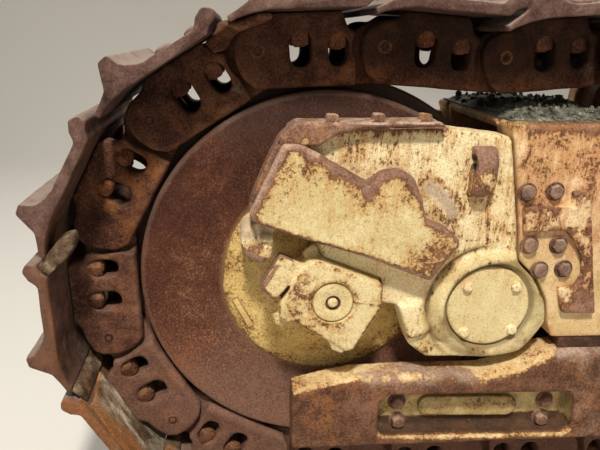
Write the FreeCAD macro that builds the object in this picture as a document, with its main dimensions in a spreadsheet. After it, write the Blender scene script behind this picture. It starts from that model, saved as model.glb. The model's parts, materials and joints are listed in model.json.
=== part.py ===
import FreeCAD, Part
import math
import os
import Sketcher
from FreeCAD import Vector, Placement, Rotation

# Front idler end of a large crawler tractor's undercarriage, outer side on -Y.
# The wheel axis is the drawing datum: x runs rearward, z up, and every outline
# below is given from that axis in millimetres. axis_x and axis_z then set the
# whole assembly on the ground with its box centred on the origin.

doc = FreeCAD.newDocument("idler_end")
sheet = doc.addObject("Spreadsheet::Sheet", "sizes")

SIZES = [
    # alias, value (mm or degrees), meaning
    ("axis_x", -204.384, "wheel axis from the box centre"),
    ("axis_z", 797.08, "wheel axis above the ground"),
    ("pitch", 317.5, "pin to pin"),
    ("pin_circle", 625.0, "radius of the pins wrapped on the wheel"),
    ("run_drop", 626.0, "pins of the lower run below the axis"),
    ("first_pin_deg", 78.9, "direction of the first wrapped pin"),
    ("rail_drop", 93.0, "pin to rail"),
    ("shoe_rise", 90.0, "pin to the underside of a shoe"),
    ("chain_half", 175.0, "outer face of the links"),
    ("lap_out", 141.0, "inner side of the outer lap"),
    ("lap_in", 139.0, "outer side of the inner lap"),
    ("rail_in", 105.0, "inner face of the links"),
    ("shoe_half", 330.0, "half the shoe width"),
    ("pin_rad", 33.0, ""),
    ("bush_rad", 50.0, ""),
    ("tread_rad", 505.0, "wheel tread"),
    ("flange_rad", 540.0, "wheel centre flange"),
    ("flange_half", 98.0, ""),
    ("hub_rad", 283.0, ""),
    ("axle_rad", 69.95, ""),
    ("hub_bore", 70.0, ""),
    ("block_in", 222.0, "back of the bearing block"),
    ("block_out", 326.0, "face of the bearing block"),
    ("arm_in", 222.0, ""),
    ("arm_out", 295.0, ""),
    ("lug_out", 310.0, "lug beside the bearing block"),
    ("seat_out", 303.0, "ring round the pivot cover"),
    ("seat_rad", 130.0, ""),
    ("seat_bore", 116.0, ""),
    ("guard_out", 345.0, ""),
    ("cover_out", 325.0, ""),
    ("eye_x", 327.0, "front side of the lifting eye"),
    ("eye_wide", 58.0, ""),
    ("eye_hole", 13.0, ""),
    ("cheek_in", 181.0, "frame cheek beside the wheel"),
    ("cheek_out", 203.0, ""),
    ("beam_out", 300.0, ""),
    ("stop_out", 318.0, ""),
    ("rail_guard_in", 230.0, ""),
    ("rail_guard_out", 320.0, ""),
    ("slot_deep", 60.0, ""),
    ("pivot_x", 424.0, ""),
    ("pivot_z", -43.0, ""),
    ("pivot_rad", 80.0, ""),
    ("cap_rad", 113.0, ""),
    ("cap_out", 308.0, ""),
    ("roller_rad", 145.0, ""),
    ("roller_axle", 50.0, ""),
    ("top_roller_rad", 85.0, ""),
    ("top_axle", 35.0, ""),
    ("frame_end", 1085.0, ""),
    ("end_thick", 25.0, ""),
    ("end_pcd", 400.0, ""),
    ("end_hole", 13.0, ""),
]
for row, (alias, value, note) in enumerate(SIZES, 1):
    sheet.set("A%d" % row, alias)
    sheet.set("B%d" % row, "%r" % value)
    sheet.set("C%d" % row, note)
    sheet.setAlias("B%d" % row, alias)
doc.recompute()
V = {alias: float(value) for alias, value, note in SIZES}
BASE = Placement(Vector(V["axis_x"], 0, V["axis_z"]), Rotation())
NODES = []


def keep(obj, label):
    obj.Label = label
    NODES.append(obj)
    return obj


def span(c, s, e):
    """Start and end angle of the short arc about c from s to e, counterclockwise."""
    a0 = math.atan2(s.y - c.y, s.x - c.x)
    a1 = math.atan2(e.y - c.y, e.x - c.x)
    if (s - c).cross(e - c).z < 0:
        a0, a1 = a1, a0
    if a1 < a0:
        a1 += 2 * math.pi
    return a0, a1


def edges_of(points):
    """Closed outline from (x, z[, corner radius]) rows: lines and tangent arcs."""
    n = len(points)
    rows = [(p[0], p[1], p[2] if len(p) > 2 else 0.0) for p in points]
    cuts, mids, rads = [], {}, {}
    for i in range(n):
        x, z, rad = rows[i]
        a = Vector(rows[i - 1][0] - x, rows[i - 1][1] - z, 0)
        b = Vector(rows[(i + 1) % n][0] - x, rows[(i + 1) % n][1] - z, 0)
        here = Vector(x, z, 0)
        if rad <= 0:
            cuts.append((here, None, here))
            continue
        la, lb = a.Length, b.Length
        a.normalize()
        b.normalize()
        half = a.getAngle(b) / 2
        back = min(rad / math.tan(half), 0.48 * la, 0.48 * lb)
        r = back * math.tan(half)
        mid = (a + b).normalize()
        centre = here + mid * (r / math.sin(half))
        mids[i], rads[i] = centre, r
        cuts.append((here + a * back, centre - mid * r, here + b * back))
    out = []
    for i in range(n):
        p0, pm, p1 = cuts[i]
        if pm is not None:
            out.append(Part.ArcOfCircle(Part.Circle(mids[i], Vector(0, 0, 1), rads[i]),
                                        *span(mids[i], p0, p1)))
        q = cuts[(i + 1) % n][0]
        if (q - p1).Length > 1e-6:
            out.append(Part.LineSegment(p1, q))
    return out


def plane(body, role):
    for f in body.Origin.OriginFeatures:
        if f.Role == role:
            return f


def sketch(body, name, role, loops, circles=(), offset=None):
    sk = body.newObject("Sketcher::SketchObject", name)
    sk.AttachmentSupport = (plane(body, role), [""])
    sk.MapMode = "FlatFace"
    if offset is not None:
        if isinstance(offset, str):
            sk.setExpression("AttachmentOffset.Base.z", offset)
        else:
            sk.AttachmentOffset = Placement(Vector(0, 0, offset), Rotation())
    for loop in loops:
        sk.addGeometry(edges_of(loop), False)
    for x, z, alias in circles:
        k = sk.addGeometry(Part.Circle(Vector(x, z, 0), Vector(0, 0, 1), V[alias]), False)
        c = sk.addConstraint(Sketcher.Constraint("Radius", k, V[alias]))
        sk.setExpression("Constraints[%d]" % c, "sizes.%s" % alias)
    return sk


def side_plate(label, side, outline, near, far, circles=(), holes=()):
    """A plate parallel to the wheel, from |y| = near to |y| = far.
    side is -1 for the outer (-Y) side and +1 for the inner side."""
    body = doc.addObject("PartDesign::Body", label)
    # a sketch on the XZ plane faces -Y, so the outer side starts at near
    start = "sizes.%s" % near if side < 0 else "-sizes.%s" % far
    sk = sketch(body, label + "_outline", "XZ_Plane", [outline] + list(holes), circles, start)
    pad = body.newObject("PartDesign::Pad", label + "_pad")
    pad.Profile = sk
    pad.setExpression("Length", "sizes.%s - sizes.%s" % (far, near))
    sk.Visibility = False
    body.Placement = BASE
    return body


def add_pad(body, side, outline, near, far, circles=()):
    start = "sizes.%s" % near if side < 0 else "-sizes.%s" % far
    sk = sketch(body, body.Name + "_step_" + far, "XZ_Plane", [outline] if outline else [], circles, start)
    pad = body.newObject("PartDesign::Pad", body.Name + "_step_pad_" + far)
    pad.Profile = sk
    pad.setExpression("Length", "sizes.%s - sizes.%s" % (far, near))
    return pad


def pocket(body, side, outline, far, depth, circles=()):
    """Cuts depth inward from the face at |y| = far."""
    start = "sizes.%s" % far if side < 0 else "-sizes.%s" % far
    sk = sketch(body, body.Name + "_slot", "XZ_Plane", [outline] if outline else [], circles, start)
    before = body.Shape.Volume
    cut = body.newObject("PartDesign::Pocket", body.Name + "_pocket")
    cut.Profile = sk
    cut.setExpression("Length", depth)
    cut.Reversed = side > 0
    doc.recompute()
    if body.Shape.Volume >= before - 1:
        raise RuntimeError("pocket cut nothing in " + body.Name)
    return cut


def revolved(label, profile):
    """A body of revolution about the y axis from (radius, y) rows."""
    body = doc.addObject("PartDesign::Body", label)
    sk = sketch(body, label + "_profile", "XY_Plane", [profile])
    rev = body.newObject("PartDesign::Revolution", label + "_turn")
    rev.Profile = sk
    rev.ReferenceAxis = (sk, ["V_Axis"])
    rev.Angle = 360
    body.Placement = BASE
    return body


def shaft(label, x, z, alias, y0, y1):
    c = doc.addObject("Part::Cylinder", label)
    c.setExpression("Radius", "sizes.%s" % alias)
    c.Height = y1 - y0
    c.Placement = Placement(Vector(V["axis_x"] + x, y0, V["axis_z"] + z),
                            Rotation(Vector(1, 0, 0), -90))
    return c


# ---------------------------------------------------------------- idler wheel
def idler_profile():
    t, f, fh, hub, bore = (V[k] for k in ("tread_rad", "flange_rad", "flange_half", "hub_rad", "hub_bore"))
    half = [(bore, 215), (138, 215), (150, 208), (172, 196), (262, 183), (hub, 175), (hub, 169),
            (t - 9, 175), (t, 168), (t, fh), (f - 14, fh), (f, fh - 12)]
    return [(r, -y) for r, y in half] + [(r, y) for r, y in reversed(half)]


keep(revolved("idler_wheel", idler_profile()), "idler_wheel")
keep(shaft("idler_axle", 0, 0, "axle_rad", -300, 300), "idler_axle")

# ------------------------------------------------- bearing blocks and carrier
BLOCK = [(-66, 97, 10), (-40, 99, 14), (126, 34, 16), (126, -28, 16), (58, -150, 14),
         (40, -155, 14), (-104, -63, 14), (-128, -10, 8), (-98, 62, 8)]
ARM = [(-80, 395, 20), (-45, 431, 6), (250, 433, 6), (424, 415, 6), (455, 266), (473, 173),
       (484, 88, 20), (541, 34, 30), (576, -30, 30), (590, -92, 25), (532, -177, 40),
       (426, -196, 30), (264, -192, 20), (213, -152, 8), (172, -37), (129, -30),
       (129, 38), (-38, 103), (-60, 158, 10), (-120, 176, 8), (-160, 170, 8), (-162, 128, 10),
       (-184, 91, 12), (-232, 123, 14), (-239, 190, 14), (-205, 222, 12)]
GUARD = [(-141, 396, 14), (-220, 227, 12), (-212, 208, 8), (-95, 167), (62, 120), (217, 60),
         (243, 51, 10), (314, 155, 22), (275, 188), (219, 211, 20), (195, 283, 20), (178, 318, 18),
         (142, 337, 18), (100, 330, 12), (67, 304, 10), (48, 313, 8), (10, 335), (-31, 356),
         (-53, 372, 12), (-100, 394, 10)]
COVER_LIP = [(-137, 428, 5), (-102, 444, 6), (231, 451, 4), (252, 439), (123, 435), (52, 429),
             (-7, 416, 30), (-46, 388, 8), (-78, 397), (-110, 402)]
COVER_TOP = [(-40, 434), (250, 434), (231, 451), (-95, 446)]
ARM_LUG = [(170, -30), (236, -24, 6), (270, -108, 6), (210, -131, 6)]
BEAM = [(418, 448, 8), (790, 452), (815, 350), (1085, 350), (1085, -139), (640, -139), (612, -136, 6),
        (597, -94, 20), (583, -28, 30), (547, 37, 30), (490, 89, 15), (479, 173), (461, 266), (430, 416)]
CHEEK = [(296, 60, 40), (292, -120, 40), (400, -178, 60), (560, -176, 30), (640, -139), (1085, -139),
         (1085, 350), (815, 350), (790, 449), (440, 449, 8), (432, 430, 8), (470, 240, 80)]
CORE = [(602, -130), (602, 420, 10), (436, 420, 6), (428, 436, 8), (440, 449, 8), (788, 449), (812, 345),
        (1085, 345), (1085, -130)]
STOP = [(473, 239, 4), (604, 241), (598, 281, 5), (644, 281, 8), (719, -59, 5), (623, -57, 5),
        (601, 16, 4), (646, 21, 5), (662, 55, 14), (655, 95, 20), (629, 142, 20), (594, 176, 6),
        (484, 173, 5)]
RAIL_GUARD = [(-100, -283, 6), (-4, -258, 60), (74, -243, 60), (225, -240, 60), (430, -241, 80),
              (526, -212, 60), (595, -173, 40), (640, -170), (1085, -170), (1085, -458), (-97, -458, 8)]
SLOT = [(143, -293, 22), (700, -293, 22), (712, -440, 22), (143, -440, 22)]
PEDESTAL = [(874, 350), (1014, 350), (1000, 520, 25), (888, 520, 25)]

# wrapped and free pins, numbered along the chain from the upper cut end
PINS = {}
step = 2 * math.degrees(math.asin(V["pitch"] / 2 / V["pin_circle"]))
for k in range(1, 8):
    a = math.radians(V["first_pin_deg"] + step * (k - 1))
    PINS[k] = Vector(V["pin_circle"] * math.cos(a), 0, V["pin_circle"] * math.sin(a))
# top run: link number, slope in degrees
for k, slope in ((0, -3.2), (-1, 5.5), (-2, 5.5)):
    a = math.radians(slope)
    PINS[k] = PINS[k + 1] + Vector(V["pitch"] * math.cos(a), 0, V["pitch"] * math.sin(a))
# lower run: pin number, extra drop in mm
for k, drop in ((8, 1.4), (9, 0.0), (10, 0.0), (11, 0.0)):
    z = -V["run_drop"] - drop
    dz = z - PINS[k - 1].z
    PINS[k] = Vector(PINS[k - 1].x + math.sqrt(V["pitch"] ** 2 - dz ** 2), 0, z)
FIRST, LAST = -2, 11
LINKS = range(FIRST + 1, LAST + 1)

ax = PINS[-1] + (PINS[-2] - PINS[-1]) * (175.0 / V["pitch"])
run = (PINS[-2] - PINS[-1]).normalize()
TOP_ROLLER = ax + Vector(run.z, 0, -run.x) * (V["rail_drop"] + V["top_roller_rad"])
SHAFT_X = (640.0, 985.0)
SHAFT_Z = -V["run_drop"] + V["rail_drop"] + V["roller_rad"]

for side, word in ((-1, "outer"), (1, "inner")):
    block = side_plate(word + "_bearing_block", side, BLOCK, "block_in", "block_out")
    sk = sketch(block, word + "_block_bore", "XZ_Plane", [], [(0, 0, "axle_rad")],
                "sizes.block_in" if side < 0 else "-sizes.block_in")
    doc.recompute()
    before = block.Shape.Volume
    bore = block.newObject("PartDesign::Pocket", word + "_block_socket")
    bore.Profile = sk
    bore.Length = 300 - V["block_in"]
    bore.Reversed = side < 0
    doc.recompute()
    if block.Shape.Volume >= before - 1:
        raise RuntimeError("no axle socket")
    keep(block, word + "_bearing_block")

    arm = side_plate(word + "_carrier_arm", side, ARM, "arm_in", "arm_out",
                     [(V["pivot_x"], V["pivot_z"], "pivot_rad")])
    add_pad(arm, side, ARM_LUG, "arm_out", "lug_out")
    add_pad(arm, side, None, "arm_out", "seat_out", [(V["pivot_x"], V["pivot_z"], "seat_rad"),
                                                     (V["pivot_x"], V["pivot_z"], "seat_bore")])
    keep(arm, word + "_carrier_arm")

    pin = shaft(word + "_pivot_pin", V["pivot_x"], V["pivot_z"], "pivot_rad",
                side * V["arm_out"] if side < 0 else V["cheek_in"],
                -V["cheek_in"] if side < 0 else V["arm_out"])
    keep(pin, word + "_pivot_pin")

    y0, y1 = sorted((side * V["arm_out"], side * V["cap_out"]))
    keep(shaft(word + "_pivot_cap", V["pivot_x"], V["pivot_z"], "cap_rad", y0, y1), word + "_pivot_cap")

    keep(side_plate(word + "_arm_guard", side, GUARD, "arm_out", "guard_out"), word + "_arm_guard")

    cover = side_plate(word + "_top_cover", side, COVER_LIP, "arm_out", "cover_out")
    add_pad(cover, side, COVER_TOP, "arm_in", "cover_out")
    keep(cover, word + "_top_cover")

    eye = doc.addObject("PartDesign::Body", word + "_lifting_eye")
    yf, yo = side * V["arm_out"], side * V["guard_out"]
    sk = sketch(eye, word + "_eye_outline", "YZ_Plane", [[(yf, 262), (yo, 285, 22), (yo, 378, 22), (yf, 392)]],
                [(side * 316, 352, "eye_hole")], "sizes.eye_x")
    pad = eye.newObject("PartDesign::Pad", word + "_eye_pad")
    pad.Profile = sk
    pad.setExpression("Length", "sizes.eye_wide")
    eye.Placement = BASE
    keep(eye, word + "_lifting_eye")

    keep(side_plate(word + "_frame_beam", side, BEAM, "cheek_out", "beam_out"), word + "_frame_beam")
    keep(side_plate(word + "_frame_cheek", side, CHEEK, "cheek_in", "cheek_out",
                    [(V["pivot_x"], V["pivot_z"], "pivot_rad")]), word + "_frame_cheek")
    keep(side_plate(word + "_stop_pad", side, STOP, "beam_out", "stop_out"), word + "_stop_pad")

    rail = side_plate(word + "_roller_guard", side, RAIL_GUARD, "rail_guard_in", "rail_guard_out")
    doc.recompute()
    pocket(rail, side, SLOT, "rail_guard_out", "sizes.slot_deep")
    keep(rail, word + "_roller_guard")

    hanger = doc.addObject("Part::Box", word + "_guard_hanger")
    hanger.Length = V["frame_end"] - 640
    hanger.Width = 55
    hanger.Height = 170 - 139
    hanger.Placement = Placement(Vector(V["axis_x"] + 640, -295 if side < 0 else 240,
                                        V["axis_z"] - 170), Rotation())
    keep(hanger, word + "_guard_hanger")

    ped = side_plate(word + "_roller_pedestal", side, PEDESTAL, "cheek_out", "arm_out",
                     [(TOP_ROLLER.x, TOP_ROLLER.z, "top_axle")])
    keep(ped, word + "_roller_pedestal")

core = doc.addObject("PartDesign::Body", "frame_core")
sk = sketch(core, "core_outline", "XZ_Plane", [CORE], [], "-sizes.cheek_in")
pad = core.newObject("PartDesign::Pad", "core_pad")
pad.Profile = sk
pad.setExpression("Length", "2 * sizes.cheek_in")
core.Placement = BASE
keep(core, "frame_core")

# end plate: a plain rectangle with a ring of bolt holes, padded rearward
end = doc.addObject("PartDesign::Body", "frame_end_plate")
sk = sketch(end, "end_outline", "YZ_Plane", [[(-300, -150, 20), (300, -150, 20), (300, 358, 20), (-300, 358, 20)]],
            [(V["end_pcd"] / 2 * math.cos(math.radians(15 + 30 * i)),
              104 + V["end_pcd"] / 2 * math.sin(math.radians(15 + 30 * i)), "end_hole") for i in range(12)],
            "sizes.frame_end")
pad = end.newObject("PartDesign::Pad", "end_pad")
pad.Profile = sk
pad.setExpression("Length", "sizes.end_thick")
end.Placement = BASE
keep(end, "frame_end_plate")

# ------------------------------------------------------------------- rollers
R = V["roller_rad"]
half = [(V["roller_axle"], 202), (150, 202), (168, 194), (168, 180), (R, 177), (R, 104), (160, 99),
        (160, 84), (118, 70)]
roller_profile = [(r, -y) for r, y in half] + [(r, y) for r, y in reversed(half)]
for label, x in (("front_track_roller", SHAFT_X[0]), ("rear_track_roller", SHAFT_X[1])):
    roller = revolved(label, roller_profile)
    roller.Placement = Placement(Vector(V["axis_x"] + x, 0, V["axis_z"] + SHAFT_Z), Rotation())
    keep(roller, label)


def group(label, shapes):
    """Like pieces that do not touch, kept as one sub-part."""
    obj = doc.addObject("Part::Feature", label)
    obj.Shape = Part.makeCompound(shapes)
    obj.Placement = BASE
    return keep(obj, label)


group("track_roller_shafts", [Part.makeCylinder(V["roller_axle"], 2 * V["rail_guard_in"],
      Vector(x, -V["rail_guard_in"], SHAFT_Z), Vector(0, 1, 0)) for x in SHAFT_X])

T = V["top_roller_rad"]
half = [(V["top_axle"], 198), (70, 198), (98, 190), (98, 180), (T, 177), (T, 102), (72, 92)]
top = revolved("carrier_roller", [(r, -y) for r, y in half] + [(r, y) for r, y in reversed(half)])
top.Placement = Placement(Vector(V["axis_x"] + TOP_ROLLER.x, 0, V["axis_z"] + TOP_ROLLER.z), Rotation())
keep(top, "carrier_roller")
keep(shaft("carrier_roller_shaft", TOP_ROLLER.x, TOP_ROLLER.z, "top_axle", -292, 292), "carrier_roller_shaft")

# --------------------------------------------------------------------- track
P, D, U = V["pitch"], V["rail_drop"], V["shoe_rise"]
# outlines in the link's own frame: s from its pin towards the next pin, n outward
WINDOWS = ((107.0, 28.0, 44.0), (201.0, 25.0, 35.0))
SHOE = [(30, U, 20), (-10, 84, 40), (-42, 75, 40), (-62, 65, 6), (-69, 81, 7), (-42, 96, 40), (-18, 112, 16),
        (6, 168, 12), (34, 172, 10), (46, 140, 30), (84, 119, 40), (222, 118, 14), (238, 137, 10),
        (262, 149, 14), (284, 136, 14), (279, 112, 10), (258, 104, 8), (243, U, 8)]


def wire(points, y):
    edges = [g.toShape() for g in edges_of(points)]
    w = Part.Wire(Part.__sortEdges__(edges))
    w.rotate(Vector(0, 0, 0), Vector(1, 0, 0), 90)
    w.translate(Vector(0, y, 0))
    return w


def slab(points, y0, y1):
    """Extrudes an (s, n) outline from y0 to y1."""
    return Part.Face(wire(points, y0)).extrude(Vector(0, y1 - y0, 0))


def drum(r, y0, y1, x=0.0, z=0.0):
    return Part.makeCylinder(r, y1 - y0, Vector(x, y0, z), Vector(0, 1, 0))


def link_shape():
    """One link of the +Y strand: outer lap at its pin, inner lap at its bushing."""
    first = [(-8, -D, 24), (-40, -66, 30), (-58, -20, 35), (-59, 20, 35), (-44, 46, 25), (-14, 62, 25),
             (22, 70, 14), (44, U, 8), (P - 104, U, 8), (P - 90, 50, 8), (P - 71.5, 40, 6), (P - 71.5, -D, 4)]
    second = [(P + 8, -D, 24), (P + 40, -66, 30), (P + 58, -20, 35), (P + 59, 20, 35), (P + 44, 46, 25),
              (P + 14, 66, 25), (P - 30, 66, 20), (P - 62, 46, 10), (P - 92, 44, 8), (P - 104, U, 8),
              (71.5, U, 6), (71.5, -D, 4)]
    out = slab(first, V["lap_out"], V["chain_half"]).cut(drum(78, 0, 400, P, 0))
    inn = slab(second, V["rail_in"], V["lap_in"]).cut(drum(78, 0, 400, 0, 0))
    mid = slab([(78, -D), (P - 78, -D), (P - 78, 40), (P - 104, U), (78, U)], V["lap_in"], V["lap_out"])
    solid = out.fuse([inn, mid])
    solid = solid.cut(drum(V["pin_rad"], 0, 400)).cut(drum(V["bush_rad"], 0, 400, P, 0))
    for s, r, top in WINDOWS:
        hole = slab([(s - 0.72 * r, -42, 0.68 * r), (s + 0.72 * r, -42, 0.68 * r), (s + r, top, 0.9 * r),
                     (s - r, top, 0.9 * r)], 50, 400)
        solid = solid.cut(hole)
    return solid.removeSplitter()


def put(shape, k):
    """Copies a shape from the link frame to link k of the chain."""
    a, b = PINS[k], PINS[k - 1]
    ang = math.degrees(math.atan2(b.z - a.z, b.x - a.x))
    s = shape.copy()
    s.Placement = Placement(a, Rotation(Vector(0, -1, 0), ang)).multiply(s.Placement)
    return s


far_link = link_shape()
near_link = far_link.mirror(Vector(0, 0, 0), Vector(0, 1, 0))
group("outer_track_links", [put(near_link, k) for k in LINKS])
group("inner_track_links", [put(far_link, k) for k in LINKS])
group("track_pins", [drum(V["pin_rad"], -V["chain_half"], V["chain_half"], PINS[k].x, PINS[k].z)
                     for k in range(FIRST + 1, LAST)])
group("track_bushings", [drum(V["bush_rad"], -V["lap_in"], V["lap_in"], PINS[k].x, PINS[k].z).cut(
    drum(V["pin_rad"], -200, 200, PINS[k].x, PINS[k].z)) for k in range(FIRST, LAST)])
shoe = slab(SHOE, -V["shoe_half"], V["shoe_half"])
group("track_shoes", [put(shoe, k) for k in LINKS])

# ------------------------------------------------------------- check and write
doc.recompute()
for obj in doc.Objects:
    if "Invalid" in obj.State or "Error" in obj.State:
        raise RuntimeError("%s: %s" % (obj.Label, obj.State))
box = FreeCAD.BoundBox()
os.makedirs("parts", exist_ok=True)
total = 0.0
for obj in NODES:
    s = obj.Shape
    if s.isNull() or not s.isValid() or s.Volume <= 0:
        raise RuntimeError("bad shape " + obj.Label)
for obj in NODES:
    s = obj.Shape
    s.exportStep("parts/%s.step" % obj.Label)
    box.add(s.BoundBox)
    total += s.Volume
    print("%-24s %8.1f kg  solids %d" % (obj.Label, s.Volume * 7.85e-6, len(s.Solids)))
print("nodes", len(NODES), "steel kg %.0f" % (total * 7.85e-6))
print("box x %.2f %.2f  y %.2f %.2f  z %.2f %.2f" % (box.XMin, box.XMax, box.YMin, box.YMax, box.ZMin, box.ZMax))
print("centre x %.3f" % ((box.XMin + box.XMax) / 2))
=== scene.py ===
import bpy, bmesh, math, json
import numpy as np
from mathutils import Vector, Matrix


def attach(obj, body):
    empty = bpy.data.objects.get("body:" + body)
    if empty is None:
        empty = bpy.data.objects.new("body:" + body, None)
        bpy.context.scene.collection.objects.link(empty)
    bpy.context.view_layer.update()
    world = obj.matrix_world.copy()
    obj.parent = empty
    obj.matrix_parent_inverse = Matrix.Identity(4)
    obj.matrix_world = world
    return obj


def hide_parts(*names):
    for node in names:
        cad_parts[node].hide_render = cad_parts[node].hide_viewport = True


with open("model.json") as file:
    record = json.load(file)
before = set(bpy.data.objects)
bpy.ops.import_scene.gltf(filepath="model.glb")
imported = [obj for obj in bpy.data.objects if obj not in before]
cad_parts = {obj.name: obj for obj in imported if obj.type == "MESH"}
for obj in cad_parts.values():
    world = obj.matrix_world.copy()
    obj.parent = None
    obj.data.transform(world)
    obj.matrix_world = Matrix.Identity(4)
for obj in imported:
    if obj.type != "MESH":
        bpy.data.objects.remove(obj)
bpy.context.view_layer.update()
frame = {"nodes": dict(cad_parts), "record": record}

# Idler end of a crawler undercarriage. Lengths in the helpers are millimetres
# from the wheel axis (x rearward, z up); y is the frame's own y.
AX, _, AZ = (v * 1000 for v in frame["record"]["behaviour"]["joints"][0]["pos_m"])
NODE_BODY = {n: b for b, ns in frame["record"]["behaviour"]["bodies"].items() for n in ns}
rng = np.random.default_rng(7)

# ------------------------------------------------------------------ camera
cam_data = bpy.data.cameras.new("camera")
cam_data.sensor_width = 36.0
cam_data.lens = 36.234
cam = bpy.data.objects.new("camera", cam_data)
bpy.context.scene.collection.objects.link(cam)
m = Matrix(((0.99469, -0.09806, 0.03132), (0.0, 0.30423, 0.95260), (-0.10294, -0.94754, 0.30262))).transposed().to_4x4()
m.translation = Vector((AX / 1000 - 0.2451, -1.7132, AZ / 1000 + 0.6393))
cam.matrix_world = m
bpy.context.scene.camera = cam


# ------------------------------------------------------------- mesh helpers
def arcs(rows, turn=14.0):
    """Closed (x, z[, corner radius]) rows as points, each rounded corner as short chords."""
    n, out = len(rows), []
    P = [np.array(r[:2], float) for r in rows]
    R = [r[2] if len(r) > 2 else 0.0 for r in rows]
    for i in range(n):
        a, b = P[i - 1] - P[i], P[(i + 1) % n] - P[i]
        la, lb = np.linalg.norm(a), np.linalg.norm(b)
        if R[i] <= 0:
            out.append(P[i])
            continue
        a, b = a / la, b / lb
        half = math.acos(max(-1, min(1, float(a @ b)))) / 2
        back = min(R[i] / math.tan(half), 0.48 * la, 0.48 * lb)
        r = back * math.tan(half)
        mid = (a + b) / np.linalg.norm(a + b)
        c = P[i] + mid * (r / math.sin(half))
        p0, p1 = P[i] + a * back, P[i] + b * back
        t0, t1 = math.atan2(*(p0 - c)[::-1]), math.atan2(*(p1 - c)[::-1])
        dt = (t1 - t0 + math.pi) % (2 * math.pi) - math.pi
        k = max(1, int(abs(math.degrees(dt)) / turn))
        out += [c + r * np.array((math.cos(t0 + dt * j / k), math.sin(t0 + dt * j / k))) for j in range(k + 1)]
    return [tuple(p) for p in out]


def ccw(poly):
    s = sum(a[0] * b[1] - b[0] * a[1] for a, b in zip(poly, poly[1:] + poly[:1]))
    return poly if s > 0 else poly[::-1]


def prism(poly, y0, y1):
    """A plate of that (x, z) outline from y0 to y1, y0 < y1."""
    p = ccw(list(poly))
    n = len(p)
    v = [(x, y0, z) for x, z in p] + [(x, y1, z) for x, z in p]
    f = [list(range(n)), list(range(2 * n - 1, n - 1, -1))]
    f += [[(i + 1) % n, i, i + n, (i + 1) % n + n] for i in range(n)]
    return np.array(v, float), f


def prism_x(poly, x0, x1):
    """A bar of that (y, z) outline from x0 to x1."""
    p = ccw(list(poly))
    n = len(p)
    v = [(x0, y, z) for y, z in p] + [(x1, y, z) for y, z in p]
    f = [list(range(n - 1, -1, -1)), list(range(n, 2 * n))]
    f += [[i, (i + 1) % n, (i + 1) % n + n, i + n] for i in range(n)]
    return np.array(v, float), f


def ring(x, z, r, n=48, start=0.0):
    return [(x + r * math.cos(start + 2 * math.pi * i / n), z + r * math.sin(start + 2 * math.pi * i / n)) for i in range(n)]


def turned(p, d, rows, n=24, spin=0.0):
    """A solid of revolution about the line from p along d, from (along, radius) rows; radius 0 closes an end."""
    d = np.array(d, float) / np.linalg.norm(d)
    u = np.cross(d, (0, 0, 1.0) if abs(d[2]) < 0.9 else (1.0, 0, 0))
    u /= np.linalg.norm(u)
    w = np.cross(d, u)
    p, v, f = np.array(p, float), [], []
    loops = []
    for a, r in rows:
        if r <= 0:
            v.append(p + d * a)
            loops.append([len(v) - 1])
        else:
            base = len(v)
            for i in range(n):
                t = spin + 2 * math.pi * i / n
                v.append(p + d * a + u * r * math.cos(t) + w * r * math.sin(t))
            loops.append(list(range(base, base + n)))
    for A, B in zip(loops, loops[1:]):
        for i in range(n):
            j = (i + 1) % n
            if len(A) == 1:
                f.append([A[0], B[j], B[i]])
            elif len(B) == 1:
                f.append([A[i], A[j], B[0]])
            else:
                f.append([A[i], A[j], B[j], B[i]])
    if len(loops[0]) > 1:
        f.append(loops[0][::-1])
    if len(loops[-1]) > 1:
        f.append(loops[-1])
    f = [g[::-1] for g in f] if np.dot(np.cross(u, w), d) < 0 else f
    return np.array(v), f


def join(parts):
    V, F, base = [], [], 0
    for v, f in parts:
        V.append(np.asarray(v, float))
        F += [[i + base for i in g] for g in f]
        base += len(v)
    return np.concatenate(V), F


def flip(part):
    v, f = part
    return v * (1, -1, 1), [g[::-1] for g in f]


def to_mesh(name, v, f):
    me = bpy.data.meshes.new(name)
    co = np.array(v, float)
    co = np.column_stack((co[:, 0] + AX, co[:, 1], co[:, 2] + AZ)) / 1000.0
    me.from_pydata([tuple(c) for c in co], [], [list(g) for g in f])
    me.update()
    return me


def obj_of(name, me):
    o = bpy.data.objects.new(name, me)
    bpy.context.scene.collection.objects.link(o)
    return o


def baked(o):
    """The object's mesh with its modifiers applied; the object itself goes away."""
    dg = bpy.context.evaluated_depsgraph_get()
    me = bpy.data.meshes.new_from_object(o.evaluated_get(dg))
    bpy.data.objects.remove(o)
    return me


def get_co(me):
    a = np.empty(len(me.vertices) * 3, np.float32)
    me.vertices.foreach_get("co", a)
    return a.reshape(-1, 3).astype(float) * 1000 - (AX, 0, AZ)


def set_co(me, co):
    a = ((co + (AX, 0, AZ)) / 1000).astype(np.float32)
    me.vertices.foreach_set("co", a.ravel())
    me.update()


def get_no(me):
    a = np.empty(len(me.vertices) * 3, np.float32)
    me.vertices.foreach_get("normal", a)
    return a.reshape(-1, 3).astype(float)


def edges(me):
    e = np.empty(len(me.edges) * 2, np.int32)
    me.edges.foreach_get("vertices", e)
    return e.reshape(-1, 2)


def mean_near(e, x, n):
    s = np.empty_like(x)
    k = np.bincount(e[:, 0], minlength=n) + np.bincount(e[:, 1], minlength=n)
    for c in range(x.shape[1]):
        s[:, c] = np.bincount(e[:, 0], x[e[:, 1], c], n) + np.bincount(e[:, 1], x[e[:, 0], c], n)
    return s / np.maximum(k, 1)[:, None]


def smoothed(e, x, it, lam=0.5):
    n = len(x)
    for _ in range(it):
        x = x + lam * (mean_near(e, x, n) - x)
    return x


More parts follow.
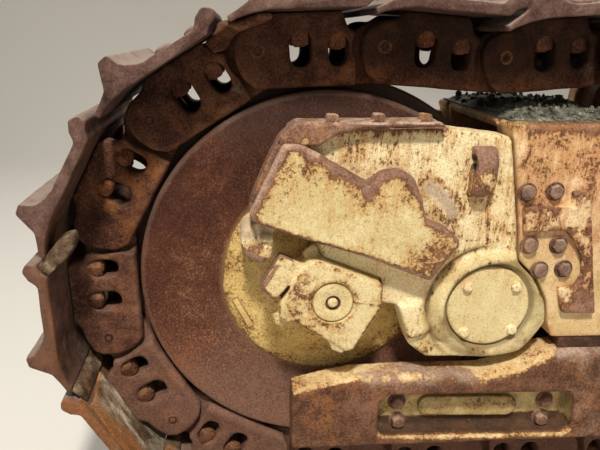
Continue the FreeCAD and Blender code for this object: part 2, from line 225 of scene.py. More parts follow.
def vnoise(p, size, seed=0):
    """Smooth noise in -1..1 with features of that size (mm)."""
    q = p / size + seed * 19.17
    i = np.floor(q).astype(np.int64)
    u = q - i
    u = u * u * (3 - 2 * u)

    def h(a, b, c):
        k = (a * 374761393 + b * 668265263 + c * 1442695041 + seed * 974634777) & 0xFFFFFFFF
        k = ((k ^ (k >> 13)) * 1274126177) & 0xFFFFFFFF
        return ((k ^ (k >> 16)) & 0xFFFF) / 32767.5 - 1
    x, y, z = i[:, 0], i[:, 1], i[:, 2]
    out = 0
    for dx in (0, 1):
        for dy in (0, 1):
            for dz in (0, 1):
                w = (u[:, 0] if dx else 1 - u[:, 0]) * (u[:, 1] if dy else 1 - u[:, 1]) * (u[:, 2] if dz else 1 - u[:, 2])
                out = out + w * h(x + dx, y + dy, z + dz)
    return out


def rough(p, size, seed, octaves=3):
    return sum(vnoise(p, size / 2 ** k, seed + k) / 2 ** k for k in range(octaves)) / 1.75


def sst(a, b, x):
    t = np.clip((x - a) / (b - a), 0, 1)
    return t * t * (3 - 2 * t)


def near_line(x, z, pts, closed=False):
    """Distance of points to a polyline in the (x, z) plane."""
    best = np.full(len(x), 1e9)
    seq = list(zip(pts, pts[1:])) + ([(pts[-1], pts[0])] if closed else [])
    for (ax, az), (bx, bz) in seq:
        dx, dz = bx - ax, bz - az
        t = np.clip(((x - ax) * dx + (z - az) * dz) / (dx * dx + dz * dz + 1e-9), 0, 1)
        best = np.minimum(best, np.hypot(x - ax - t * dx, z - az - t * dz))
    return best


def blob(x, z, cx, cz, r):
    return np.exp(-((x - cx) ** 2 + (z - cz) ** 2) / (r * r))


def attr(me, name, values):
    a = me.attributes.get(name) or me.attributes.new(name, "FLOAT", "POINT")
    a.data.foreach_set("value", np.asarray(values, np.float32))


def wear_of(me, co, size):
    """Above 0 on worn edges, below 0 in hollows."""
    e, no = edges(me), get_no(me)
    d = np.einsum("ij,ij->i", no, co - smoothed(e, co, 5, 0.6))
    d = smoothed(e, d[:, None], 1)[:, 0]
    return np.clip(d / (0.55 * size), -1, 1)


def crisp(me, deg=35.0):
    """Smooth faces with edges sharper than deg kept."""
    me.shade_smooth()
    me.set_sharp_from_angle(angle=math.radians(deg))


def finish_piece(name, me, material, body, replaces=(), smooth=True, deg=None):
    o = obj_of(name, me)
    me.name = name
    if smooth:
        me.shade_smooth()
    if deg:
        crisp(me, deg)
    me.materials.clear()
    me.materials.append(material)
    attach(o, body)
    if replaces:
        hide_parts(*replaces)
    return o


def cast(name, parts, voxel, material, body="undercarriage", cuts=(), smooth=3, amp=0.8, grain=40.0, seed=1,
         shape=None, region=None, replaces=()):
    """Joins closed parts into one rounded, slightly uneven casting."""
    v, f = join(parts)
    o = obj_of("tmp_" + name, to_mesh("tmp", v, f))
    if cuts:
        c = obj_of("tmp_cut", to_mesh("tmp", *join(cuts)))
        b = o.modifiers.new("cut", "BOOLEAN")
        b.operation, b.object, b.solver = "DIFFERENCE", c, "EXACT"
        b.use_self = True
        me = baked(o)
        bpy.data.objects.remove(c)
        o = obj_of("tmp_" + name, me)
    r = o.modifiers.new("skin", "REMESH")
    r.mode, r.voxel_size, r.use_smooth_shade = "VOXEL", voxel / 1000.0, True
    me = baked(o)
    co = get_co(me)
    co = smoothed(edges(me), co, smooth, 0.5)
    if shape:
        co = shape(co)
    set_co(me, co)
    no = get_no(me)
    lump = amp * rough(co, grain * 2.4, seed, 2) + 0.5 * amp * rough(co, grain * 0.5, seed + 5, 2)
    co2 = co + no * (lump - 0.6 * amp)[:, None]
    set_co(me, co2)
    attr(me, "wear", wear_of(me, co, voxel))
    if region:
        for k, val in region(co2, no).items():
            attr(me, k, val)
    return finish_piece(name, me, material, body, replaces)


def crisp_piece(name, parts, material, body="undercarriage", bevel=1.5, seg=2, deg=35, replaces=(), region=None):
    """Machined or bolted details: exact shapes with rounded edges."""
    o = obj_of("tmp_" + name, to_mesh("tmp", *join(parts)))
    if bevel:
        b = o.modifiers.new("edge", "BEVEL")
        b.width, b.segments, b.limit_method, b.angle_limit = bevel / 1000.0, seg, "ANGLE", math.radians(30)
        b.use_clamp_overlap = True
    me = baked(o)
    co = get_co(me)
    if region:
        for k, val in region(co, get_no(me)).items():
            attr(me, k, val)
    return finish_piece(name, me, material, body, replaces, deg=deg)


# ---------------------------------------------------------------- materials
class Nodes:
    """Short names for the shader nodes that the finishes below share."""

    def __init__(self, name):
        self.mat = bpy.data.materials.new(name)
        self.mat.use_nodes = True
        self.t = self.mat.node_tree
        self.bsdf = self.t.nodes["Principled BSDF"]
        self.p = self.t.nodes.new("ShaderNodeTexCoord").outputs["Object"]

    def link(self, a, b):
        if isinstance(a, (int, float)):
            b.default_value = a
        elif isinstance(a, tuple):
            b.default_value = (*a, 1.0) if len(a) == 3 and len(b.default_value) == 4 else a
        else:
            self.t.links.new(a, b)

    def scaled(self, s, vec=None):
        n = self.t.nodes.new("ShaderNodeMapping")
        self.link(vec or self.p, n.inputs["Vector"])
        n.inputs["Scale"].default_value = s
        return n.outputs[0]

    def noise(self, scale, detail=4.0, rough=0.55, stretch=None, warp=0.0, vec=None):
        n = self.t.nodes.new("ShaderNodeTexNoise")
        self.link(self.scaled(stretch, vec) if stretch else (vec or self.p), n.inputs["Vector"])
        n.inputs["Scale"].default_value = scale
        n.inputs["Detail"].default_value = detail
        n.inputs["Roughness"].default_value = rough
        n.inputs["Distortion"].default_value = warp
        return n.outputs["Fac"]

    def math(self, op, a, b=0.0, c=None, clamp=False):
        n = self.t.nodes.new("ShaderNodeMath")
        n.operation, n.use_clamp = op, clamp
        self.link(a, n.inputs[0])
        self.link(b, n.inputs[1])
        if c is not None:
            self.link(c, n.inputs[2])
        return n.outputs[0]

    def span(self, x, lo, hi, to0=0.0, to1=1.0):
        n = self.t.nodes.new("ShaderNodeMapRange")
        n.interpolation_type = "SMOOTHSTEP"
        self.link(x, n.inputs["Value"])
        for k, v in (("From Min", lo), ("From Max", hi), ("To Min", to0), ("To Max", to1)):
            self.link(v, n.inputs[k])
        return n.outputs["Result"]

    def sum(self, *terms):
        """Adds (value, weight, centre) terms: weight * (value - centre)."""
        out = None
        for x, w, c in terms:
            k = self.math("MULTIPLY_ADD", x, w, -w * c)
            out = k if out is None else self.math("ADD", out, k)
        return out

    def mix(self, f, a, b, mode="MIX"):
        n = self.t.nodes.new("ShaderNodeMix")
        n.data_type, n.blend_type, n.clamp_factor = "RGBA", mode, True
        self.link(f, n.inputs[0])
        self.link(a, n.inputs[6])
        self.link(b, n.inputs[7])
        return n.outputs[2]

    def ramp(self, f, stops):
        n = self.t.nodes.new("ShaderNodeValToRGB")
        self.link(f, n.inputs[0])
        e = n.color_ramp.elements
        while len(e) < len(stops):
            e.new(0.5)
        for k, (pos, col) in zip(e, stops):
            k.position, k.color = pos, (*col, 1)
        return n.outputs[0]

    def attr(self, name):
        n = self.t.nodes.new("ShaderNodeAttribute")
        n.attribute_name = name
        return n.outputs["Fac"]

    def up(self):
        """How far the surface faces up."""
        n = self.t.nodes.new("ShaderNodeNewGeometry")
        s = self.t.nodes.new("ShaderNodeSeparateXYZ")
        self.link(n.outputs["Normal"], s.inputs[0])
        return s.outputs["Z"]

    def done(self, colour, roughness, height=None, strength=0.5, distance=0.001, specular=0.35, metallic=0.0):
        self.link(colour, self.bsdf.inputs["Base Color"])
        self.link(roughness, self.bsdf.inputs["Roughness"])
        self.bsdf.inputs["Specular IOR Level"].default_value = specular
        self.link(metallic, self.bsdf.inputs["Metallic"])
        if height is not None:
            b = self.t.nodes.new("ShaderNodeBump")
            b.inputs["Strength"].default_value = strength
            b.inputs["Distance"].default_value = distance
            self.link(height, b.inputs["Height"])
            self.link(b.outputs[0], self.bsdf.inputs["Normal"])
        return self.mat


# Colours of bare, rusted metal: dark pits, the ground tone, light wear, and the orange that comes through.
RUSTS = {
    "shoe": ((0.032, 0.017, 0.014), (0.102, 0.054, 0.043), (0.215, 0.132, 0.108), (0.30, 0.120, 0.042)),
    "link": ((0.014, 0.005, 0.003), (0.070, 0.026, 0.015), (0.200, 0.088, 0.050), (0.32, 0.115, 0.030)),
    "wheel": ((0.026, 0.009, 0.006), (0.086, 0.029, 0.015), (0.180, 0.068, 0.034), (0.27, 0.090, 0.026)),
    "guard": ((0.024, 0.009, 0.006), (0.090, 0.034, 0.019), (0.225, 0.108, 0.066), (0.36, 0.140, 0.040)),
    "paint": ((0.060, 0.024, 0.016), (0.200, 0.100, 0.068), (0.370, 0.230, 0.165), (0.42, 0.180, 0.062)),
}


def rust_colour(s, kind, dark=0.0, orange=0.0, fine_w=0.55):
    """Mottled rust in one of the colour sets, with orange patches."""
    lo, mid_c, hi, glow = RUSTS[kind]
    big = s.noise(4.2, 4.0, 0.6)
    mid = s.noise(26.0, 6.0, 0.62)
    fine = s.noise(190.0, 5.0, 0.72)
    c = s.ramp(s.math("ADD", s.sum((big, 0.9, 0.5), (mid, 0.75, 0.5), (fine, fine_w, 0.5)), 0.5 - dark),
               [(0.20, lo), (0.46, mid_c), (0.80, hi)])
    o = s.span(s.sum((s.noise(7.0, 5.0, 0.65), 1.0, 0.5), (mid, 0.4, 0.5), (fine, 0.4, 0.5)), 0.04 - orange, 0.30 - orange)
    return s.mix(s.math("MULTIPLY", o, 0.55), c, glow), mid, fine


def painted(name, light, deep, base=0.14, clump=0.9, dashes=0.5, tall=0.45, kind="paint", edge_w=0.25, orange=0.0,
            wash=0.35, fringe=0.85, stain_a=(0.62, 0.345, 0.125), stain_b=(0.40, 0.175, 0.066), grit=1.0, bump=0.65):
    """Old cream paint over rust. The meshes' rust, bare and dirt values push it towards bare metal or grime; on some
    pieces the dirt value carries painted shade.
    """
    s = Nodes(name)
    wear, rust, bare, dirt = s.attr("wear"), s.attr("rust"), s.attr("bare"), s.attr("dirt")
    big, mid = s.noise(5.0, 4.0, 0.6), s.noise(19.0, 6.0, 0.70)
    fine = s.noise(118.0, 8.0, 0.80)
    dash = s.noise(150.0, 6.0, 0.74, stretch=(1.0, 1.0, tall))
    streak = s.noise(62.0, 6.0, 0.68, stretch=(1, 1, 0.07))
    grain = s.noise(310.0, 4.0, 0.70)
    push = s.sum((rust, 1.0, 0.0), (s.math("MAXIMUM", wear, 0.0), edge_w, 0.0))
    # many small chips, gathered in clumps, and larger bare areas where the mesh asks for them
    f1 = s.math("ADD", s.sum((fine, 1.75, 0.5), (dash, dashes, 0.5), (mid, clump, 0.5), (big, 0.35, 0.5), (push, 0.75, 0.0)), base)
    f2 = s.sum((push, 1.0, 0.0), (mid, 0.85, 0.5), (fine, 1.15, 0.5), (grain, 0.50, 0.5))
    c1, c2 = s.span(f1, 0.40, 0.49), s.span(f2, 0.46, 0.58)
    chip = s.math("MAXIMUM", c1, c2)
    # orange rust washed out of the chips and fringing the bare areas
    near = s.math("MAXIMUM", s.span(f1, 0.16, 0.42), s.span(f2, 0.26, 0.48))
    soft = s.span(s.sum((big, 0.6, 0.5), (mid, 1.0, 0.5), (streak, 1.3, 0.5), (push, 0.9, 0.0)), 0.02 - orange, 0.42 - orange)
    light2 = tuple(min(0.92, 1.10 * v + 0.01) for v in light)
    paint = s.mix(s.span(s.sum((big, 1.0, 0.0), (mid, 0.9, 0.45)), 0.34, 0.64), light2, deep)
    paint = s.mix(s.span(s.noise(42.0, 6.0, 0.75), 0.46, 0.70, 0.0, 0.50), paint, light2)
    paint = s.mix(s.math("MULTIPLY", soft, wash), paint, stain_a)
    paint = s.mix(s.math("MULTIPLY", s.span(s.sum((streak, 1.2, 0.5), (fine, 0.8, 0.5), (push, 0.9, 0.0), (mid, 0.7, 0.5)), 0.06, 0.30), 0.45 * fringe), paint, stain_a)
    stain = s.mix(s.span(s.noise(55.0, 5.0, 0.7), 0.40, 0.60), stain_a, stain_b)
    paint = s.mix(s.math("MULTIPLY", near, s.span(push, 0.0, 0.45, 0.42 * fringe, fringe)), paint, stain)
    paint = s.mix(s.span(grain, 0.34, 0.54, 0.55 * grit, 0.0), paint, (0.35, 0.225, 0.085))
    paint = s.mix(s.span(s.noise(190.0, 6.0, 0.80), 0.545, 0.64, 0.0, 0.80 * grit), paint, (0.22, 0.105, 0.040))
    # Dirt tints the paint yellow-olive and, where strong, darkens it with grime; where dirt carries painted shade,
    # these give that shade its warm, dark tone.
    paint = s.mix(s.span(s.sum((dirt, 1.0, 0.0), (mid, 0.4, 0.5)), 0.02, 0.30, 0.0, 0.45), paint, (0.60, 0.45, 0.165))
    grime = s.span(s.sum((dirt, 1.0, 0.0), (mid, 0.8, 0.5), (s.math("MAXIMUM", s.math("MULTIPLY", wear, -1.0), 0.0), 0.60, 0.0)), 0.16, 0.85)
    paint = s.mix(s.math("MULTIPLY", grime, 0.70), paint, (0.115, 0.070, 0.028))
    metal, rmid, rfine = rust_colour(s, kind, dark=0.0, orange=0.03 + orange * 0.5, fine_w=1.5)
    small = s.ramp(s.noise(34.0, 6.0, 0.75), [(0.36, (0.060, 0.021, 0.010)), (0.52, (0.150, 0.062, 0.030)), (0.68, (0.330, 0.150, 0.060))])
    metal = s.mix(s.span(f2, 0.50, 0.72), small, metal)
    metal = s.mix(s.math("MULTIPLY", s.span(dirt, 0.3, 0.9), 0.6), metal, (0.040, 0.026, 0.016))
    colour = s.mix(s.math("MULTIPLY", chip, 0.95), paint, metal)
    # old rubbed patches, paler and greyer than the rust
    worn = s.span(s.sum((bare, 1.0, 0.0), (mid, 0.8, 0.5), (fine, 0.45, 0.5)), 0.20, 0.75)
    colour = s.mix(s.math("MULTIPLY", worn, 0.78), colour, s.mix(s.span(rfine, 0.38, 0.62), (0.33, 0.215, 0.155), (0.56, 0.42, 0.315)))
    height = s.sum((chip, -0.55, 0.0), (rfine, 0.40, 0.5), (rmid, 0.55, 0.5), (fine, 0.80, 0.5), (grain, 0.35, 0.5))
    return s.done(colour, s.span(chip, 0.0, 1.0, 0.60, 0.88), height, bump, 0.0026, specular=0.26)


def rusted(name, kind, dark=0.0, orange=0.0, dust=0.0, tint=None, tint_mix=0.0, bump=0.6, rough=0.88, gloss=0.13, dust_col=(0.30, 0.235, 0.190),
           worn_col=(0.32, 0.21, 0.165)):
    """Bare rusted steel, with dust where it faces up."""
    s = Nodes(name)
    wear, dirt, glow, shade_and_grime = s.attr("wear"), s.attr("dirt"), s.attr("rust"), s.attr("shade_and_grime")
    c, mid, fine = rust_colour(s, kind, dark, orange, fine_w=0.75 if kind == "shoe" else 1.25)
    if tint:
        c = s.mix(tint_mix, c, tint)
    o = s.span(s.sum((glow, 1.0, 0.0), (mid, 0.7, 0.5), (fine, 0.5, 0.5)), 0.10, 0.85)
    c = s.mix(s.math("MULTIPLY", o, 0.80), c, s.mix(s.span(fine, 0.4, 0.6), RUSTS[kind][3], tuple(0.55 * v for v in RUSTS[kind][3])))
    calm = s.attr("bare")
    c = s.mix(s.math("MULTIPLY", s.span(s.sum((calm, 1.0, 0.0), (mid, 0.5, 0.5)), 0.10, 0.90), 0.62), c, s.mix(s.span(fine, 0.36, 0.64), (0.150, 0.077, 0.056), (0.255, 0.142, 0.102)))
    worn = s.span(s.sum((wear, 0.8, 0.0), (mid, 0.6, 0.5)), 0.20, 0.75)
    c = s.mix(s.math("MULTIPLY", worn, 0.30), c, worn_col)
    hollow = s.span(s.sum((wear, -0.8, 0.0), (mid, 0.5, 0.5)), 0.15, 0.8)
    c = s.mix(s.math("MULTIPLY", hollow, 0.50), c, (0.022, 0.013, 0.009))
    speck = s.span(s.noise(360.0, 2.0, 0.6), 0.60, 0.72)
    c = s.mix(s.math("MULTIPLY", speck, 0.35), c, (0.36, 0.205, 0.125))
    # Near-black darkening from this value: painted shade on the upper links, on the upper shoes' inner faces and in the
    # pin marks' dimples, and a darkened inner lip on the lower shoes.
    c = s.mix(s.math("MULTIPLY", shade_and_grime, 0.80), c, (0.012, 0.007, 0.006))
    top = s.span(s.sum((s.up(), 0.62, 0.0), (s.noise(30.0, 6.0, 0.7), 0.9, 0.5), (s.noise(5.0, 2.0), 0.5, 0.5)), 0.24, 0.62)
    c = s.mix(s.math("MULTIPLY", s.math("MULTIPLY", top, dust), s.math("SUBTRACT", 1.0, glow, clamp=True)), c, dust_col)
    mud = s.span(s.sum((dirt, 1.0, 0.0), (s.noise(22.0, 6.0, 0.7), 1.1, 0.5), (fine, 0.5, 0.5)), 0.30, 0.62)
    c = s.mix(s.math("MULTIPLY", mud, 0.80), c, s.ramp(s.noise(60.0, 4.0), [(0.35, (0.10, 0.080, 0.055)), (0.65, (0.27, 0.225, 0.160))]))
    pit = s.noise(330.0, 3.0, 0.6)
    height = s.sum((mid, 0.9, 0.5), (fine, 0.90, 0.5), (pit, 0.35, 0.5))
    return s.done(c, s.span(fine, 0.3, 0.7, rough - 0.12, min(1.0, rough + 0.06)), height, bump, 0.0022, specular=gloss)


M = {}
CREAM, YELLOW = (0.740, 0.570, 0.300), (0.670, 0.500, 0.225)
M["cream"] = painted("cream_paint", (0.705, 0.590, 0.325), (0.655, 0.525, 0.250), base=0.138, dashes=0.45, tall=0.5)
M["block"] = painted("block_paint", (0.725, 0.600, 0.325), (0.690, 0.545, 0.260), base=0.160, dashes=0.75, edge_w=0.35)
M["carrier"] = painted("carrier_paint", (0.905, 0.738, 0.452), (0.862, 0.674, 0.375), base=0.108, clump=0.60, dashes=1.8, tall=0.30, wash=0.60, edge_w=0.20, fringe=0.75)
M["clean"] = painted("cap_paint", (0.735, 0.610, 0.335), (0.715, 0.580, 0.295), base=0.07, dashes=0.3, wash=0.25, edge_w=0.24, grit=0.8)
M["nose"] = painted("nose_paint", (0.800, 0.585, 0.340), (0.740, 0.490, 0.250), base=0.160, clump=1.1, dashes=0.9, tall=0.22, orange=0.24, wash=0.80,
                    edge_w=0.25, fringe=0.95, stain_a=(0.60, 0.270, 0.120), stain_b=(0.38, 0.140, 0.070))
M["pad"] = painted("pad_paint", (0.800, 0.610, 0.360), (0.740, 0.520, 0.280), base=0.190, clump=1.2, dashes=1.0, tall=0.35, orange=0.06, wash=0.6,
                   edge_w=0.35, fringe=0.95, stain_a=(0.60, 0.290, 0.130), stain_b=(0.36, 0.140, 0.074))
M["guardrail"] = painted("roller_guard_paint", (0.74, 0.585, 0.330), (0.66, 0.490, 0.240), base=0.16, orange=0.06, kind="guard", dashes=0.3, wash=0.5)
M["hub_pad"] = painted("hub_pad_paint", (0.72, 0.520, 0.205), (0.65, 0.450, 0.150), base=0.15, dashes=0.3, grit=1.1)
M["lip"] = painted("cover_paint", (0.74, 0.585, 0.330), (0.66, 0.490, 0.240), base=0.14, orange=0.0, dashes=0.3, fringe=0.6)
M["shoe"] = rusted("shoe_steel", "shoe", dust=0.80, orange=-0.10)
M["link"] = rusted("link_steel", "link", dust=0.24, orange=0.0, dust_col=(0.26, 0.165, 0.120), worn_col=(0.30, 0.150, 0.090))
M["roller"] = rusted("roller_steel", "link", dark=0.05, orange=-0.05, dust=0.30, gloss=0.40)
M["nut"] = rusted("nut_steel", "link", dark=0.0, orange=0.05, dust=0.45, dust_col=(0.34, 0.185, 0.090))
M["bolt"] = rusted("bolt_steel", "paint", dark=0.10, orange=-0.04, dust=0.45, dust_col=(0.50, 0.37, 0.27), worn_col=(0.62, 0.47, 0.36))
M["bright"] = rusted("worn_steel", "shoe", orange=-0.1, dust=0.2, tint=(0.30, 0.27, 0.25), tint_mix=0.55, rough=0.55, gloss=0.6)


def wheel_material():
    """Red-brown rust on the ring and old yellow paint on the hub, told apart by the radius."""
    s = Nodes("wheel_steel")
    sep = s.t.nodes.new("ShaderNodeSeparateXYZ")
    s.link(s.p, sep.inputs[0])
    dx = s.math("SUBTRACT", sep.outputs["X"], AX / 1000)
    dz = s.math("SUBTRACT", sep.outputs["Z"], AZ / 1000)
    r = s.math("SQRT", s.math("ADD", s.math("MULTIPLY", dx, dx), s.math("MULTIPLY", dz, dz)))
    wear = s.attr("wear")
    mid, fine, big = s.noise(24.0, 6.0, 0.66), s.noise(200.0, 5.0, 0.72), s.noise(3.6, 4.0, 0.6)
    lo, mc, hi, glow = RUSTS["wheel"]
    # high rises from the bottom to the top of the wheel; the terms below use it to darken the upper wheel as painted
    # shade.
    high = s.span(dz, -0.25, 0.42)
    c = s.ramp(s.math("ADD", s.sum((mid, 0.65, 0.5), (fine, 2.10, 0.5), (big, 1.3, 0.5), (high, -0.20, 0.35)), 0.47),
               [(0.14, lo), (0.46, mc), (0.78, hi), (0.98, (0.42, 0.22, 0.12))])
    o = s.span(s.sum((s.noise(5.5, 6.0, 0.7), 1.1, 0.5), (fine, 0.6, 0.5), (r, 1.6, 0.44), (high, -0.20, 0.4)), 0.02, 0.30)
    c = s.mix(s.math("MULTIPLY", o, 0.60), c, glow)
    g = s.span(s.sum((s.noise(4.4, 5.0, 0.65), 1.0, 0.5), (fine, 0.5, 0.5), (high, -0.20, 0.4)), 0.04, 0.26)
    c = s.mix(s.math("MULTIPLY", g, 0.40), c, (0.150, 0.088, 0.068))
    d = s.span(s.sum((s.noise(5.0, 5.0, 0.65, stretch=(1, 1, 0.5)), 1.0, 0.5), (high, 0.22, 0.4), (fine, 0.3, 0.5)), 0.02, 0.24)
    c = s.mix(s.math("MULTIPLY", d, 0.55), c, (0.036, 0.012, 0.008))
    # Darker above 0.26 m over the axis, and through a belt from the axis upward (shade_belt): painted shade from the
    # overhanging shoes.
    c = s.mix(s.span(s.sum((dz, 1.0, 0.0), (mid, 0.3, 0.5)), 0.26, 0.46, 0.0, 0.55), c, (0.062, 0.036, 0.029))
    level = s.sum((dz, 1.0, 0.0), (mid, 0.22, 0.5), (big, 0.30, 0.5))
    shade_belt = s.math("MULTIPLY", s.span(level, -0.26, -0.02), s.span(level, 0.40, 0.22))
    c = s.mix(s.math("MULTIPLY", shade_belt, 0.42), c, (0.050, 0.018, 0.013))
    # Paler colours below the axis: painted light on the lower wheel.
    c = s.mix(s.span(level, -0.10, -0.40, 0.0, 0.70), c, s.mix(s.span(fine, 0.36, 0.64), (0.158, 0.085, 0.061), (0.288, 0.162, 0.117)))
    speck = s.span(s.noise(300.0, 3.0, 0.7), 0.56, 0.66)
    c = s.mix(s.math("MULTIPLY", speck, s.span(s.sum((s.noise(5.2, 4.0, 0.65), 1.0, 0.0), (dx, 0.25, 0.0)), 0.36, 0.62, 0.12, 0.50)), c, (0.44, 0.205, 0.085))
    c = s.mix(s.span(s.sum((wear, 0.8, 0.0), (mid, 0.8, 0.5)), 0.25, 0.7, 0.0, 0.20), c, (0.32, 0.20, 0.15))
    tread = s.span(r, 0.4995, 0.5035)
    c = s.mix(s.math("MULTIPLY", tread, 0.22), c, (0.17, 0.130, 0.110))
    # hub paint, speckled with rust and thinner to the edge
    speck = s.sum((s.noise(115.0, 8.0, 0.80), 1.9, 0.5), (s.noise(16.0, 5.0, 0.6), 0.9, 0.5), (s.math("MAXIMUM", wear, 0.0), 0.15, 0.0))
    speck = s.math("ADD", speck, s.span(r, 0.20, 0.285, 0.035, 0.115))
    chip = s.span(speck, 0.215, 0.31)
    paint = s.mix(s.span(big, 0.35, 0.65), (0.66, 0.455, 0.150), (0.73, 0.525, 0.205))
    paint = s.mix(s.span(mid, 0.44, 0.68, 0.0, 0.70), paint, (0.46, 0.275, 0.085))
    paint = s.mix(s.span(speck, 0.02, 0.22, 0.0, 0.65), paint, (0.40, 0.215, 0.065))
    paint = s.mix(s.span(s.noise(220.0, 6.0, 0.80), 0.51, 0.61, 0.0, 0.85), paint, (0.24, 0.125, 0.040))
    hub = s.mix(chip, paint, s.mix(s.span(fine, 0.42, 0.58), (0.085, 0.035, 0.015), (0.210, 0.100, 0.040)))
    edge = s.math("ADD", r, s.sum((mid, 0.012, 0.5), (s.noise(90.0, 4.0), 0.010, 0.5)))
    on = s.math("SUBTRACT", 1.0, s.span(edge, 0.2815, 0.2855))
    over = s.math("SUBTRACT", 1.0, s.span(edge, 0.284, 0.300))
    c = s.mix(s.math("MULTIPLY", over, 0.30), c, (0.42, 0.26, 0.11))
    c = s.mix(on, c, hub)
    height = s.sum((mid, 0.7, 0.5), (fine, 0.6, 0.5), (s.noise(420.0, 2.0), 0.25, 0.5), (chip, -0.25, 0.0))
    rough = s.span(on, 0.0, 1.0, 0.82, 0.66)
    rough = s.math("SUBTRACT", rough, s.math("MULTIPLY", tread, 0.25))
    return s.done(c, rough, height, 0.70, 0.0018, specular=0.15)


def mud_material():
    s = Nodes("dried_mud")
    flow, rim = s.attr("dirt"), s.attr("rust")
    n2, n3 = s.noise(45.0, 7.0, 0.74), s.noise(260.0, 4.0, 0.7)
    c = s.ramp(s.sum((flow, 1.0, 0.0), (n2, 0.95, 0.5), (n3, 0.55, 0.5)),
               [(0.20, (0.050, 0.030, 0.018)), (0.44, (0.150, 0.098, 0.060)), (0.60, (0.285, 0.212, 0.145)), (0.82, (0.60, 0.53, 0.42))])
    o = s.span(s.sum((rim, 1.0, 0.0), (n2, 1.3, 0.5)), 0.26, 0.66)
    c = s.mix(s.math("MULTIPLY", o, 0.85), c, s.mix(s.span(n3, 0.4, 0.6), (0.170, 0.070, 0.028), (0.42, 0.170, 0.052)))
    height = s.sum((n2, 0.8, 0.5), (n3, 0.5, 0.5))
    return s.done(c, 0.95, height, 0.6, 0.003, specular=0.12)


def gravel_material():
    s = Nodes("grit")
    n1, n2 = s.noise(30.0, 5.0, 0.65), s.noise(150.0, 4.0, 0.6)
    c = s.ramp(s.math("ADD", s.sum((n1, 1.4, 0.5), (n2, 1.0, 0.5)), 0.5),
               [(0.22, (0.028, 0.025, 0.017)), (0.44, (0.090, 0.085, 0.062)), (0.62, (0.165, 0.160, 0.125)), (0.86, (0.36, 0.345, 0.285))])
    return s.done(c, 0.95, s.sum((n2, 1.0, 0.5), (n1, 0.8, 0.5)), 0.8, 0.003, specular=0.12)


M["wheel"] = wheel_material()
M["mud"] = mud_material()
M["grit"] = gravel_material()


# ----------------------------------------------------------------- outlines
BLOCK = [(-66, 97, 10), (-40, 99, 14), (126, 34, 16), (126, -28, 16), (58, -150, 14),
         (40, -155, 14), (-104, -63, 14), (-128, -10, 8), (-98, 62, 8)]
ARM = [(-80, 395, 20), (-45, 431, 6), (250, 433, 6), (424, 415, 16), (455, 266), (473, 173),
       (484, 88, 20), (541, 34, 30), (576, -30, 30), (590, -92, 25), (532, -177, 40),
       (426, -196, 30), (264, -192, 20), (213, -152, 8), (172, -37), (129, -30),
       (129, 38), (-38, 103), (-60, 158, 10), (-120, 176, 8), (-160, 170, 8), (-162, 128, 10),
       (-184, 91, 12), (-232, 123, 14), (-239, 190, 14), (-205, 222, 12)]
GUARD = [(-141, 396, 14), (-220, 227, 12), (-212, 208, 8), (-95, 167), (62, 120), (217, 60),
         (243, 51, 10), (314, 155, 22), (275, 188), (219, 211, 20), (195, 283, 20), (178, 318, 18),
         (142, 337, 18), (100, 330, 12), (67, 304, 10), (48, 313, 8), (10, 335), (-31, 356),
         (-53, 372, 12), (-100, 394, 10)]
COVER_LIP = [(-137, 424, 14), (-108, 442, 16), (231, 451, 4), (252, 439), (123, 435), (56, 429),
             (2, 419, 30), (-34, 401, 12), (-54, 386, 6), (-99, 388, 6), (-132, 386, 8), (-150, 390, 20)]
FLANK = [(-150, 408, 20), (-171, 366, 60), (-192, 314, 60), (-212, 264, 40), (-221, 234, 12), (-200, 226, 8),
         (-150, 330, 20), (-112, 392, 10), (-100, 430, 14), (-130, 428, 20)]
COVER_TOP = [(-128, 412), (-60, 424), (250, 434), (238, 450), (-106, 441), (-128, 428)]
BEAM = [(418, 448, 14), (790, 452), (815, 350), (1085, 350), (1085, -139), (640, -139), (612, -136, 6),
        (597, -94, 20), (583, -28, 30), (547, 37, 30), (490, 89, 15), (479, 173), (461, 266), (430, 416)]
STOP = [(473, 239, 4), (604, 241), (598, 281, 5), (644, 281, 8), (719, -59, 5), (623, -57, 5),
        (601, 16, 4), (646, 21, 5), (662, 55, 14), (655, 95, 20), (629, 142, 20), (594, 176, 6),
        (484, 173, 5)]
RAIL_GUARD = [(-100, -283, 6), (-4, -258, 60), (74, -243, 60), (225, -240, 60), (430, -241, 80),
              (526, -212, 60), (595, -173, 40), (640, -170), (1085, -170), (1085, -458), (-97, -458, 8)]
SLOT = [(143, -293, 22), (700, -293, 22), (712, -440, 22), (143, -440, 22)]
STRIP = [(381, 410, 6), (424, 411, 14), (452, 266), (469, 173), (478, 92, 14), (404, 86), (384, 240), (396, 330)]
PIVOT = (424.0, -43.0)
P, D, U = 317.5, 93.0, 90.0
SHOE = [(30, U, 20), (-10, 84, 40), (-42, 75, 40), (-62, 65, 6), (-69, 81, 7), (-42, 96, 40), (-18, 112, 16),
        (6, 168, 12), (34, 172, 10), (46, 140, 30), (84, 119, 40), (222, 118, 14), (238, 137, 10),
        (262, 149, 14), (284, 136, 14), (279, 112, 10), (258, 104, 8), (243, U, 8)]
LAP_A = [(-8, -D, 24), (-40, -66, 30), (-58, -20, 35), (-59, 20, 35), (-44, 46, 25), (-14, 62, 25),
         (22, 70, 14), (44, U, 8), (P - 104, U, 8), (P - 90, 50, 8), (P - 71.5, 40, 6), (P - 71.5, -D, 4)]
LAP_B = [(P + 8, -D, 24), (P + 40, -66, 30), (P + 58, -20, 35), (P + 59, 20, 35), (P + 44, 46, 25),
         (P + 14, 66, 25), (P - 30, 66, 20), (P - 62, 46, 10), (P - 92, 44, 8), (P - 104, U, 8),
         (71.5, U, 6), (71.5, -D, 4)]
WINDOWS = ((107.0, 28.0, 44.0), (201.0, 25.0, 35.0))     # centre along the link, half width, shoe side

